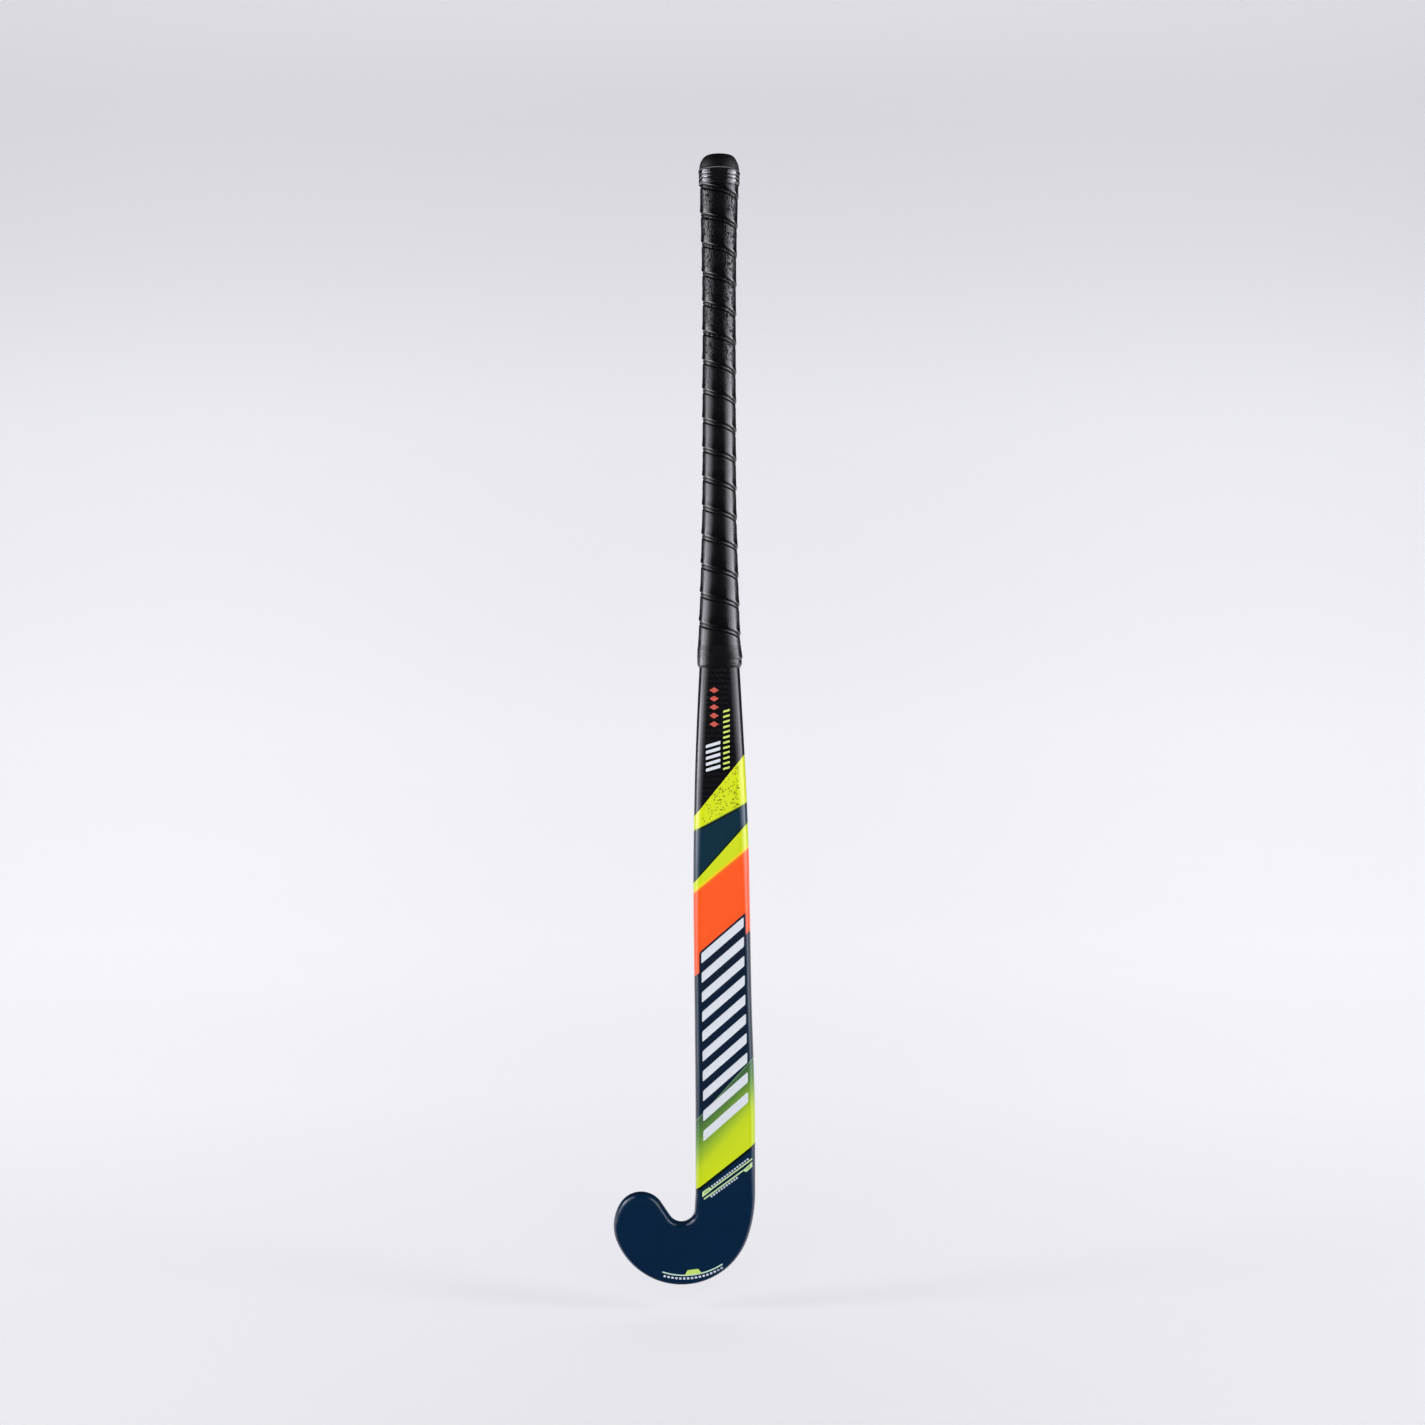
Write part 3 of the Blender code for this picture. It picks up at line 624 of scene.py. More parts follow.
def green_paint():
    """Olive at the upper right fading to yellow at the bottom, with halftone dots between."""
    paint = lacquer("paint_green_fade")
    side = paint.remap(paint.part("X"), 0.010, 0.056)
    height = paint.math("SUBTRACT", paint.across(GREEN_EDGE), paint.times(side, 0.012))
    fade = paint.remap(height, 0.0, 0.042)
    ramp = paint.node("ShaderNodeValToRGB", {0: fade})
    ramp.color_ramp.elements[0].color = srgb(202, 220, 4)
    ramp.color_ramp.elements[1].color = srgb(62, 98, 62)
    between_ends = ((0.25, (194, 215, 12)), (0.50, (140, 178, 40)), (0.75, (88, 134, 52)))
    for position, colour in between_ends:
        ramp.color_ramp.elements.new(position).color = srgb(*colour)
    dots, _ = paint.cells(1.0, paint.mapped((900.0, 900.0, 900.0), (0.0, 0.785, 0.0)))
    middle = paint.times(fade, paint.math("SUBTRACT", 1.0, fade))
    dots = paint.math("LESS_THAN", dots, paint.times(middle, 0.9))
    base = paint.blend(paint.times(dots, 0.16), ramp.outputs[0], srgb(210, 226, 30))
    base = edge_line(paint, base, NAVY_EDGE, 0.0, 0.0007, srgb(120, 160, 120), 0.6)
    return paint.drive(Base_Color=base)


def head_paint():
    paint = lacquer("paint_head_navy", 0.34)
    base = shaded(paint, srgb(1, 33, 62), 0.12)
    tow = paint.remap(weave(paint, 0.0018), 0.0, 1.0, 0.0, 0.10)
    base = paint.blend(tow, base, srgb(6, 44, 78))
    on_shaft = paint.remap(paint.part("X"), 0.002, 0.004, 0.0, 0.9)
    base = edge_line(paint, base, GREEN_EDGE, -0.0008, 0.0014, srgb(0, 22, 8), on_shaft)
    return paint.drive(Base_Color=base)


def laminate_paint():
    """Bare moulded carbon laminate, under the grip."""
    paint = Paint("laminate_bare", srgb(30, 30, 33), 0.4)
    tow = weave(paint, 0.0020)
    grain = paint.noise(900.0, 2.0, paint.mapped((1.0, 1.0, 0.1)))
    return paint.drive(
        Base_Color=paint.blend(tow, srgb(22, 22, 25), srgb(44, 44, 48)),
        Roughness=paint.remap(grain, 0.3, 0.7, 0.32, 0.5),
        Normal=paint.bump(tow, 0.00003, 0.4),
    )


def band_list():
    """Each band's piece, paint, upper edge and lower edge, from the top of the shaft down."""
    teal_lines = (
        (NEON_EDGE, -0.0006, 0.0010, srgb(12, 30, 20), 0.8),
        (TEAL_EDGE, 0.0006, 0.0010, srgb(12, 36, 8), 0.8),
    )
    teal = plain_paint("paint_teal_navy", srgb(10, 45, 62), 0.10, *teal_lines)
    lime_line = (LIME_EDGE, 0.0, 0.0016, srgb(250, 208, 10), 0.9)
    lime = plain_paint("paint_lime", srgb(206, 221, 3), 0.03, lime_line)
    orange_line = (LIME_EDGE, -0.0004, 0.0008, srgb(240, 130, 10), 0.8)
    orange = plain_paint("paint_orange", srgb(254, 86, 12), 0.025, orange_line)
    navy_line = (ORANGE_EDGE, -0.0004, 0.0010, srgb(40, 14, 20), 0.7)
    navy = plain_paint("paint_navy", srgb(8, 29, 52), 0.12, navy_line)
    return (
        ("skin_handle", laminate_paint(), None, GRIP_EDGE),
        ("skin_black", black_paint(), GRIP_EDGE, BLACK_EDGE),
        ("skin_neon", neon_paint(), BLACK_EDGE, NEON_EDGE),
        ("skin_teal", teal, NEON_EDGE, TEAL_EDGE),
        ("skin_lime", lime, TEAL_EDGE, LIME_EDGE),
        ("skin_orange", orange, LIME_EDGE, ORANGE_EDGE),
        ("skin_navy", navy, ORANGE_EDGE, NAVY_EDGE),
        ("skin_green", green_paint(), NAVY_EDGE, GREEN_EDGE),
        ("skin_head", head_paint(), GREEN_EDGE, None),
    )


def between(bm, upper, lower):
    """A copy of the mesh between two paint edges. The lowest band has all of the hook."""
    made = bm.copy()
    if lower:
        cut(made, Vector((0, 0, HOOK_TOP_Z)), Vector((0, 0, -1)))
        point, normal = plane_of(lower)
        cut(made, point, -normal)
    if upper:
        point, normal = plane_of(upper)
        cut(made, point, normal, HOOK_TOP_Z)
    return made


def skin_rings(sides, inset, fine, coarse, hook_count, tip_count):
    heights = spaced(SHELL_TOP_Z, FINE_TOP_Z, coarse) + spaced(FINE_TOP_Z, CROOK_CENTRE[1], fine)[1:]
    rings = [shaft_ring(z, sides, inset) for z in heights]
    return rings + hook_rings(sides, hook_count, tip_count, inset)


def make_skin(bands):
    bm = bmesh.new()
    outside = loft(bm, skin_rings(SKIN_SIDES, 0.0, 0.003, 0.010, 64, 24))
    inside = loft(bm, skin_rings(CAVITY_SIDES, WALL, 0.012, 0.020, 24, 8))
    rim = []
    for ring in (outside[0], inside[0]):
        rim += [bm.edges.get((ring[i - 1], ring[i])) for i in range(len(ring))]
    bmesh.ops.triangle_fill(bm, use_beauty=True, edges=rim, normal=(0, 0, 1))
    bmesh.ops.recalc_face_normals(bm, faces=bm.faces)
    for name, paint, upper, lower in bands:
        finish_mesh(name, between(bm, upper, lower), paint, ["composite_shell"])
    bm.free()


# ---- Guards under the paint ----


def patch(point, rows, columns, inner, outer):
    """A plate over part of the surface, between two insets, its points placed by point()."""
    bm = bmesh.new()
    layers = []
    for inset in (outer, inner):
        layers.append([[bm.verts.new(point(r, c, inset)) for c in columns] for r in rows])
    for layer in layers:
        grid(bm, layer)
    rims = []
    for layer in layers:
        rim = layer[0][:-1] + [row[-1] for row in layer[:-1]]
        rim += layer[-1][:0:-1] + [row[0] for row in layer[:0:-1]]
        rims.append(rim)
    join_rings(bm, rims[0], rims[1])
    bmesh.ops.recalc_face_normals(bm, faces=bm.faces)
    return bm


def make_guards(bands):
    """The carbon guards under the paint: each stands a hair proud, so its outline just shows."""
    rows = np.linspace(*EDGE_GUARD_SPAN, 60)
    columns = np.linspace(*EDGE_GUARD_WRAP, 22)
    edge = patch(shaft_point, rows, columns, GUARD_THICKNESS, GUARD_PROUD)
    for name, paint, upper, lower in bands:
        piece = between(edge, upper, lower)
        if piece.faces:
            label = name.replace("skin", "edge_guard")
            finish_mesh(label, piece, paint, ["edge_guard"])
        else:
            piece.free()
    edge.free()
    rows = np.linspace(*HEEL_GUARD_SPAN, 60)
    columns = np.linspace(*HEEL_GUARD_WRAP, 24)
    heel = patch(hook_point, rows, columns, GUARD_THICKNESS, GUARD_PROUD)
    finish_mesh("heel_guard_plate", heel, bands[-1][1], ["heel_guard"])


# ---- Printed marks ----


def ink_paint(name, *colour):
    paint = Paint(name, srgb(*colour), 0.30, Coat_Weight=0.4, Coat_Roughness=0.12)
    fine = paint.noise(700.0, 3.0)
    return paint.drive(
        Base_Color=varied(paint, fine, srgb(*colour), 0.06, 0.03),
        Roughness=paint.remap(fine, 0.3, 0.7, 0.25, 0.36),
        Normal=paint.bump(fine, 0.00001, 0.5),
    )


def make_ink(name, outlines, paint, height=0.00010):
    """Thin printed plates that follow the playing side, one for each outline."""
    bm = bmesh.new()
    for outline in outlines:
        points = [bm.verts.new((x, 0.0, z)) for x, z in outline]
        edges = [bm.edges.new((points[i - 1], points[i])) for i in range(len(points))]
        bmesh.ops.triangle_fill(bm, use_beauty=True, edges=edges, normal=(0, -1, 0))
    corners = np.array([v.co for v in bm.verts])
    for axis, step in ((0, 0.0015), (2, 0.004)):
        normal = Vector((axis == 0, 0, axis == 2))
        low, high = corners[:, axis].min(), corners[:, axis].max()
        for position in np.arange(low + step / 2, high, step):
            split(bm, normal * position, normal)
    flat = bm.faces[:]
    below = {v: bm.verts.new(front_point(v.co.x, v.co.z, -INK_ROOT)) for v in bm.verts[:]}
    border = [e for e in bm.edges if len(e.link_faces) == 1]
    for face in flat:
        bm.faces.new([below[v] for v in reversed(face.verts)])
    for edge in border:
        first, second = edge.verts
        bm.faces.new((first, second, below[second], below[first]))
    for vertex in below:
        vertex.co = front_point(vertex.co.x, vertex.co.z, height)
    finish_mesh(name, bm, paint, sharp=30)


def slanted(x0, x1, z, rise, thickness):
    """A bar with upright ends from x0 to x1. z is its middle height at the shaft's middle."""
    half = thickness / 2
    z0 = z + rise * (x0 - MARK_MIDDLE_X)
    z1 = z + rise * (x1 - MARK_MIDDLE_X)
    return [(x0, z0 - half), (x1, z1 - half), (x1, z1 + half), (x0, z0 + half)]


INK_ROOT = 0.0003  # how deep a printed plate reaches into the skin
MARK_MIDDLE_X = 0.0325
MARK_RISE = 0.86
MARK_COUNT = 10
MARK_SPAN = (0.1370, 0.2820)
MARK_THICKNESS = 0.0084
MARK_BLOCK_FROM = 7  # the bars from here up stand on a navy block
MARK_MARGINS = (0.0064, 0.0058)
MARK_BORDER = 0.0017
DASH_GAP = 0.0009
FLECK_COUNT = 105
FLECK_THICKNESS = 0.0005


def mark_ends(z):
    left, right = shaft_edges(z)
    return left + MARK_MARGINS[0], right - MARK_MARGINS[1]


def rounded(outline, radius):
    """The outline with each corner replaced by an arc-like curve."""
    made = []
    for i, corner in enumerate(outline):
        corner = Vector(corner)
        before = (Vector(outline[i - 1]) - corner).normalized() * radius
        after = (Vector(outline[(i + 1) % len(outline)]) - corner).normalized() * radius
        made += [tuple(corner + before * (1 - t) ** 2 + after * t**2) for t in spaced(0, 1, 0.2)]
    return made


def big_bar(z):
    return rounded(slanted(*mark_ends(z), z, MARK_RISE, MARK_THICKNESS), 0.0013)


def bar_block():
    """The navy block behind the uppermost bars, which reaches up into the orange."""
    pitch = (MARK_SPAN[1] - MARK_SPAN[0]) / (MARK_COUNT - 1)
    top = MARK_SPAN[1]
    bottom = MARK_SPAN[0] + pitch * MARK_BLOCK_FROM
    left, right = mark_ends(top)
    left, right = left - MARK_BORDER, right + MARK_BORDER
    thickness = MARK_THICKNESS + 2.6 * MARK_BORDER
    low = slanted(left, right, bottom, MARK_RISE, thickness)
    high = slanted(left, right, top, MARK_RISE, thickness)
    return rounded([low[0], low[1], high[2], high[3]], 0.0022)


def along(start, end, begin, finish, low, high):
    """A strip beside the line from start to end: lengths along it, heights to its left."""
    direction = Vector((end[0] - start[0], end[1] - start[1])).normalized()
    up = Vector((-direction.y, direction.x))
    corners = ((begin, low), (finish, low), (finish, high), (begin, high))
    return [tuple(Vector(start) + direction * a + up * b) for a, b in corners]


def dashes(start, end, height, count):
    """A row of equal dashes beside a line."""
    pitch = (Vector(end) - Vector(start)).length / count
    ends = [(pitch * i, pitch * (i + 1) - DASH_GAP) for i in range(count)]
    return [along(start, end, *pair, 0.0, height) for pair in ends]


def arc_strip(centre, radius, start, end, half_width, steps):
    turns = [radians(mix(start, end, i / steps)) for i in range(steps + 1)]
    outline = []
    for r, order in ((radius + half_width, turns), (radius - half_width, turns[::-1])):
        outline += [polar(centre, r, a) for a in order]
    return outline


def fleck(x, z, length, lean):
    """A short stroke around a point, leaning by an angle in radians."""
    ahead = Vector((cos(lean), sin(lean))) * (length / 2)
    aside = Vector((-ahead.y, ahead.x)).normalized() * (FLECK_THICKNESS / 2)
    corners = (-ahead - aside, ahead - aside, ahead + aside, aside - ahead)
    return [tuple(Vector((x, z)) + corner) for corner in corners]


def edge_height(edge, x):
    (x0, z0), (x1, z1) = edge
    return z0 + (x - x0) * (z1 - z0) / (x1 - x0)


def flecks():
    """Short dark flecks scattered over the neon, fewer towards the left."""
    draw = random.Random(11)
    made = []
    while len(made) < FLECK_COUNT:
        x = draw.uniform(0.0125, 0.0500)
        z = draw.uniform(0.377, 0.430)
        right = shaft_edges(z)[1] - 0.0035
        inside = min(edge_height(BLACK_EDGE, x) - z, z - edge_height(NEON_EDGE, x), right - x)
        lean = draw.choice((-0.5, 0.4, 0.9, 1.4)) + draw.uniform(-0.25, 0.25)
        length = draw.uniform(0.0006, 0.0018)
        if inside >= 0.0022 and draw.random() <= (x - 0.004) / 0.03:
            made.append(fleck(x, z, length, lean))
    return made


def diamond(x, z, width, height):
    w, h = width / 2, height / 2
    return [(x - w, z), (x, z - h), (x + w, z), (x, z + h)]


def make_shaft_marks():
    white = ink_paint("ink_white", 219, 224, 232)
    make_ink("ink_big_bars", map(big_bar, np.linspace(*MARK_SPAN, MARK_COUNT)), white, 0.00014)
    make_ink("ink_bar_block", [bar_block()], ink_paint("ink_navy", 7, 26, 50), 0.00007)
    make_ink("ink_neon_flecks", flecks(), ink_paint("ink_olive", 36, 50, 4), 0.00006)

    # Small marks on the black part of the shaft, below the collar.
    bars = [slanted(0.0174, 0.0294, 0.4257 + 0.0049 * i, 0.30, 0.0026) for i in range(5)]
    make_ink("ink_white_bars", [rounded(bar, 0.0006) for bar in bars], white)
    gems = [diamond(0.0242, 0.4594 + 0.0070 * i, 0.0078, 0.0048) for i in range(5)]
    make_ink("ink_coral_diamonds", gems, ink_paint("ink_coral", 206, 84, 68))
    ticks = [slanted(0.0317, 0.0371, 0.4225 + 0.0043 * i, 0.30, 0.0017) for i in range(12)]
    make_ink("ink_pale_ticks", ticks, ink_paint("ink_pale_lime", 206, 230, 100))


def make_head_marks():
    # Thin lines, tabs and rows of dashes under the yellow.
    line_a, line_b = ((0.0229, 0.0805), (0.0553, 0.1042)), ((0.0160, 0.0716), (0.0479, 0.0949))
    lines = [
        along(*line_a, -0.0005, dist(*line_a), -0.0005, 0.0005),
        along(*line_b, 0.0, dist(*line_b), -0.0005, 0.0005),
        [(0.0145, 0.0774), (0.0147, 0.0731), (0.0232, 0.0799), (0.0201, 0.0813)],
        [(0.0475, 0.0950), (0.0504, 0.0936), (0.0555, 0.0979), (0.0554, 0.1017)],
    ]
    make_ink("ink_lime_lines", lines, ink_paint("ink_lime_grey", 196, 224, 160))
    tabs = [
        along((0.0163, 0.0764), (0.0205, 0.0795), 0.0, 0.0044, -0.0004, 0.0007),
        along((0.0505, 0.0958), (0.0543, 0.0986), 0.0, 0.0042, -0.0004, 0.0007),
    ]
    make_ink("ink_tab_centres", tabs, ink_paint("ink_tab_green", 150, 186, 112), 0.00016)
    rows = dashes((0.0223, 0.0812), (0.0534, 0.1044), 0.0013, 15)
    rows += dashes((0.0219, 0.0729), (0.0446, 0.0893), 0.0015, 11)
    make_ink("ink_grey_dashes", rows, ink_paint("ink_grey", 196, 208, 222))

    # A thin arc with a tab, and dashes along it, above the heel.
    arc = arc_strip((-0.0003, 0.0672), 0.0578, 252.1, 302.9, 0.0005, 40)
    make_ink("ink_heel_arc", [arc], ink_paint("ink_mint", 196, 226, 206))
    tab = [(0.0002, 0.0094), (0.0143, 0.0112), (0.0112, 0.0147), (0.0026, 0.0136)]
    make_ink("ink_heel_tab", [tab], ink_paint("ink_lime_tab", 196, 226, 110), 0.00014)
    centre = (-0.0007, 0.0682)
    row = [arc_strip(centre, 0.0614, a, a + 1.8, 0.0008, 3) for a in np.arange(254.6, 301.0, 3.0)]
    make_ink("ink_heel_dashes", row, ink_paint("ink_pale_grey", 206, 216, 230))


# ---- Handle ----


def grip_thickness(z):
    share = smoothstep(GRIP_BOTTOM_Z, GRIP_SKIVE_TOP_Z, z)
    tip = clamped((z - GRIP_BOTTOM_Z) / (GRIP_TIP_TOP_Z - GRIP_BOTTOM_Z))
    return mix(GRIP_TIP_THICKNESS, mix(GRIP_END_THICKNESS, GRIP_THICKNESS, share), tip)


def grip_outer(z):
    return GRIP_INNER - grip_thickness(z)


# Across the strip, from its lower edge up: share of the pitch, and how far the leather stands
# above the nominal surface in hundredths of a millimetre. The next turn up laps over the last row.
STRIP_RELIEF = (
    (0.000, -45), (0.008, -20), (0.022, 22), (0.040, 42), (0.062, 48), (0.095, 42), (0.150, 26),
    (0.230, 12), (0.340, 4), (0.460, 0), (0.580, -2), (0.700, -2), (0.800, -4), (0.818, -8),
    (0.834, -18), (0.850, -46), (0.866, -70), (0.884, -70), (0.900, -42), (0.914, -22),
    (0.928, -26), (0.944, -36), (0.964, -48), (0.984, -62), (1.000, -80), (1.045, -90),
)
STRIP_SHARES = [row[0] for row in STRIP_RELIEF]
STRIP_HEIGHTS = [row[1] * 1e-5 for row in STRIP_RELIEF]


def strip_samples():
    """Shares across the strip: the relief's own rows, and more between the distant ones."""
    samples = [STRIP_SHARES[0]]
    for share in STRIP_SHARES[1:]:
        samples += spaced(samples[-1], share, 0.030)[1:]
    return samples


def grip_texture(point, z):
    """Soft unevenness of the leather, and its coarse grain in the upper half."""
    x, y, _ = point
    strong = smoothstep(0.725, 0.760, z)
    streak = noise.noise(Vector((x / 0.0030, y / 0.0030, z / 0.0060)))
    wave = noise.noise(Vector((x / 0.010, y / 0.010, z / 0.005)))
    return strong * 0.00006 * streak + 0.00006 * wave


def grip_paint():
    """Smooth and glossy where each turn is taut, dull in the grooves with painted shade darkening
    them, and grainy in the upper half.
    """
    paint = Paint("grip_leather", srgb(9, 9, 13), 0.30)
    lap = paint.attribute("lap")
    # valley and groove mark the recess under each lap: they dull the gloss, and carry painted shade in
    # the colour.
    valley = paint.times(paint.remap(lap, 0.826, 0.842), paint.remap(lap, 0.892, 0.904, 1.0, 0.0))
    groove = paint.math("ADD", valley, paint.remap(lap, 0.955, 0.985, 0.0, 0.4))
    streaks = paint.noise(1.0, 2.0, paint.mapped((760.0, 760.0, 420.0)))
    fine = paint.noise(1.0, 2.0, paint.mapped((1500.0, 1500.0, 900.0)))
    wear = paint.remap(paint.noise(45.0, 4.0), 0.55, 0.8, 0.0, 0.3)
    grainy = paint.times(paint.remap(paint.part("Z"), 0.725, 0.765), paint.remap(lap, 0.10, 0.26))
    pits = paint.times(paint.remap(streaks, 0.42, 0.58), grainy)
    holes = paint.times(paint.remap(streaks, 0.49, 0.57), grainy)
    shine = paint.times(
        paint.remap(groove, 0.0, 1.0, 0.9, 0.12), paint.remap(holes, 0.0, 1.0, 1.0, 0.08)
    )
    rough = paint.math("ADD", paint.remap(lap, 0.04, 0.50, 0.17, 0.31), paint.times(pits, 0.05))
    colour = paint.blend(pits, srgb(4, 4, 6), srgb(9, 9, 13))
    colour = paint.blend(wear, colour, srgb(16, 16, 20))
    # Painted shade: the grooves between the turns are darkened towards black.
    colour = paint.blend(paint.times(groove, 0.8), colour, srgb(1, 1, 2))
    relief = paint.math("ADD", pits, paint.times(fine, 0.10))
    return paint.drive(
        Base_Color=colour,
        Roughness=paint.math("ADD", rough, paint.times(groove, 0.35)),
        Specular_IOR_Level=shine,
        Normal=paint.bump(relief, 0.00013, 0.45),
    )


def make_grip():
    """One strip wound in a spiral, each turn lapping over the one below it."""
    below = ceil((GRIP_SEAM_Z - GRIP_BOTTOM_Z) / GRIP_PITCH)
    start_z = GRIP_SEAM_Z - (below + 0.25) * GRIP_PITCH
    turns = ceil((GRIP_TOP_Z - start_z) / GRIP_PITCH) + 1
    samples = strip_samples()
    rings, laps = [], []
    for step in range(turns * GRIP_SIDES + 1):
        turn = step / GRIP_SIDES
        theta = 2 * pi * turn
        foot = start_z + GRIP_PITCH * turn
        low = max((GRIP_BOTTOM_Z - foot) / GRIP_PITCH, 0.0)
        high = min((GRIP_TOP_Z - foot) / GRIP_PITCH, samples[-1])
        if (high - low) * GRIP_PITCH < GRIP_END_WIDTH:
            continue
        outer, inner = [], []
        for i, sample in enumerate(samples):
            t = mix(low, high, sample / samples[-1])
            z = foot + GRIP_PITCH * t
            thickness = grip_thickness(z)
            relief = float(np.interp(t, STRIP_SHARES, STRIP_HEIGHTS)) * thickness / GRIP_THICKNESS
            nominal = shaft_point(z, theta, GRIP_INNER - thickness)
            relief += grip_texture(nominal, z) * smoothstep(0.0, 0.05, t) * smoothstep(0.84, 0.78, t)
            outer.append(shaft_point(z, theta, GRIP_INNER - thickness - relief))
            laps.append(t)
            if i % 4 == 0 or i == len(samples) - 1:
                raised = thickness * 0.5 * (1 - smoothstep(0.048, 0.070, t))
                inner.append(shaft_point(z, theta, GRIP_INNER - raised))
        rings.append(outer + inner[::-1])
        laps += [laps[-1]] * len(inner)
    bm = bmesh.new()
    loft(bm, rings, closed=True)
    grip = finish_mesh("grip_strip", bm, grip_paint(), ["grip_tape"], sharp=60)
    mark_points(grip, "lap", laps)


def vinyl_paint(name, roughness, **values):
    paint = Paint(name, srgb(10, 10, 12), roughness, **values)
    stretch = paint.noise(1.0, 3.0, paint.mapped((160.0, 160.0, 900.0)))
    fine = paint.noise(520.0, 3.0)
    return paint.drive(
        Base_Color=paint.blend(fine, srgb(7, 7, 9), srgb(15, 15, 18)),
        Roughness=paint.remap(fine, 0.3, 0.7, roughness - 0.04, roughness + 0.06),
        Normal=paint.bump(stretch, 0.00008, 0.5),
    )


def make_top_tape():
    """Narrow glossy tape wound over the top of the grip in a spiral."""
    low, high = TOP_TAPE_SPAN
    inner_inset = grip_outer(low) - GAP
    outer = []
    for z in spaced(low, high, 0.0002):
        ring = []
        for theta in angles(WRAP_SIDES):
            height = min(max(z + 0.0004 * cos(theta), low), high)
            turn = float(np.interp(height, TOP_TAPE_TURNS, range(len(TOP_TAPE_TURNS))))
            crown = sqrt(abs(sin(pi * turn)))
            fade = min(smoothstep(low, low + 0.0010, z), 1 - smoothstep(high - 0.0006, high, z))
            ring.append(shaft_point(z, theta, TAPE_OUTER - mix(-0.0003, 0.0005, crown * fade)))
        outer.append(ring)
    inner = [shaft_ring(z, WRAP_SIDES, inner_inset) for z in (low, high)]
    paint = vinyl_paint("vinyl_glossy", 0.13, IOR=1.8, Coat_Weight=1.0, Coat_Roughness=0.06)
    sleeve("top_tape_spiral", outer, inner, paint, ["top_tape"], 50)


def make_collar():
    """Tape drawn down from the grip's end onto the bare shaft, with creases and one bulge."""
    low, high = COLLAR_SPAN
    step_z = GRIP_BOTTOM_Z - GAP
    full = grip_outer(step_z) - GAP - TAPE_THICKNESS
    outer = []
    for z in spaced(low, high, 0.0003):
        base = mix(-GAP - 0.00015, full, (z - low) / (step_z - low))
        if z > step_z:
            base = grip_outer(z) - GAP - TAPE_THICKNESS
        base += TAPE_THICKNESS * smoothstep(high - 0.005, high, z)
        ring = []
        for theta in angles(WRAP_SIDES):
            x, y, _ = shaft_point(z, theta, base)
            crease = max(noise.noise(Vector((x / 0.004, y / 0.004, z / 0.0011))), 0.0)
            crease *= window(z, low, low + 0.003, high - 0.0015, high)
            right = smoothstep(0.2, 0.9, cos(theta))
            bump = 0.00060 * window(z, *COLLAR_BULGE) + 0.00025 * window(z, *COLLAR_FOLD)
            ring.append(shaft_point(z, theta, base - 0.00022 * crease - right * bump))
        outer.append(ring)
    inner_profile = [(low, -GAP), (step_z, -GAP)]
    inner_profile += [(z, grip_outer(z) - GAP) for z in spaced(step_z + 0.0001, high, 0.002)]
    inner = [shaft_ring(z, WRAP_SIDES, inset) for z, inset in inner_profile]
    paint = vinyl_paint("vinyl_satin", 0.30, Coat_Weight=0.3, Coat_Roughness=0.2)
    sleeve("collar_tape_wrap", outer, inner, paint, ["collar_tape"], 50)


def cap_droop(x):
    return CAP_DROOP * float(np.interp(x, CAP_DROOP_SPAN, (0.0, 1.0)))


def cap_paint():
    """Dusty black rubber, with a painted highlight: a pale line along the lip's edge."""
    paint = Paint("rubber_matte", srgb(14, 14, 15), 0.55)
    dust = paint.noise(60.0, 4.0)
    colour = paint.blend(paint.remap(dust, 0.5, 0.8), srgb(7, 7, 8), srgb(15, 15, 16))
    droop = paint.remap(paint.part("X"), *CAP_DROOP_SPAN, 0.0, CAP_DROOP)
    height = paint.math("ADD", paint.part("Z"), droop)
    edge_z = CAP_LIP_Z + CAP_LIP_HEIGHT
    # Painted highlight: the lip's edge is coloured pale, as the light that its rounded top catches.
    lip = paint.remap(height, edge_z, edge_z + 0.0003, 1.0, 0.0)
    return paint.drive(
        Base_Color=paint.blend(lip, colour, srgb(84, 84, 88)),
        Roughness=paint.remap(dust, 0.3, 0.7, 0.46, 0.62),
        Normal=paint.bump(paint.noise(1100.0), 0.00005, 0.5),
    )


def make_cap():
    """A low rubber dome with a thin lip at its foot and a shallow ring in its shoulder."""
    rings = [shaft_ring(CAP_BOTTOM_Z, WRAP_SIDES, TAPE_OUTER + 0.0004)]
    for share, out in ((0.0, 0.00050), (0.25, 0.00080), (0.6, 0.00085), (1.0, 0.00045)):
        ring = shaft_ring(CAP_LIP_Z + CAP_LIP_HEIGHT * share, WRAP_SIDES, TAPE_OUTER - out)
        rings.append([(x, y, z - cap_droop(x)) for x, y, z in ring])
    for turn in spaced(0.0, pi / 2, pi / 68):
        z = CAP_FOOT_Z + (LENGTH - CAP_FOOT_Z) * sin(turn)
        inset = mix(CAP_FLAT_INSET, TAPE_OUTER, cos(turn))
        groove = CAP_RING_DEPTH * exp(-(((degrees(turn) - CAP_RING_TURN) / CAP_RING_SPREAD) ** 2))
        ring = shaft_ring(CAP_FOOT_Z, WRAP_SIDES, inset + groove)
        rings.append([(x, y, z - cap_droop(x) * cos(turn) ** 2) for x, y, _ in ring])
    bm = bmesh.new()
    loft(bm, rings, closed=True)
    finish_mesh("butt_cap_dome", bm, cap_paint(), ["butt_cap"], 50)


# ---- Inner pieces ----


def tube_ring(z, side, inset, web_gap):
    """A closed D: half of the shaft's section, and the web side."""
    middle, half_width = shaft_middle(z)
    ring = []
    for turn in spaced(-pi / 2, pi / 2, pi / 24):
        across = web_gap + (half_width - inset - web_gap) * cos(turn)
        reach = max(half_width - inset - across, 0.0)
        x = middle + side * across
        ring.append(section_point(x, z, reach, inset, half_width, 0.0, turn <= 0))
    return ring


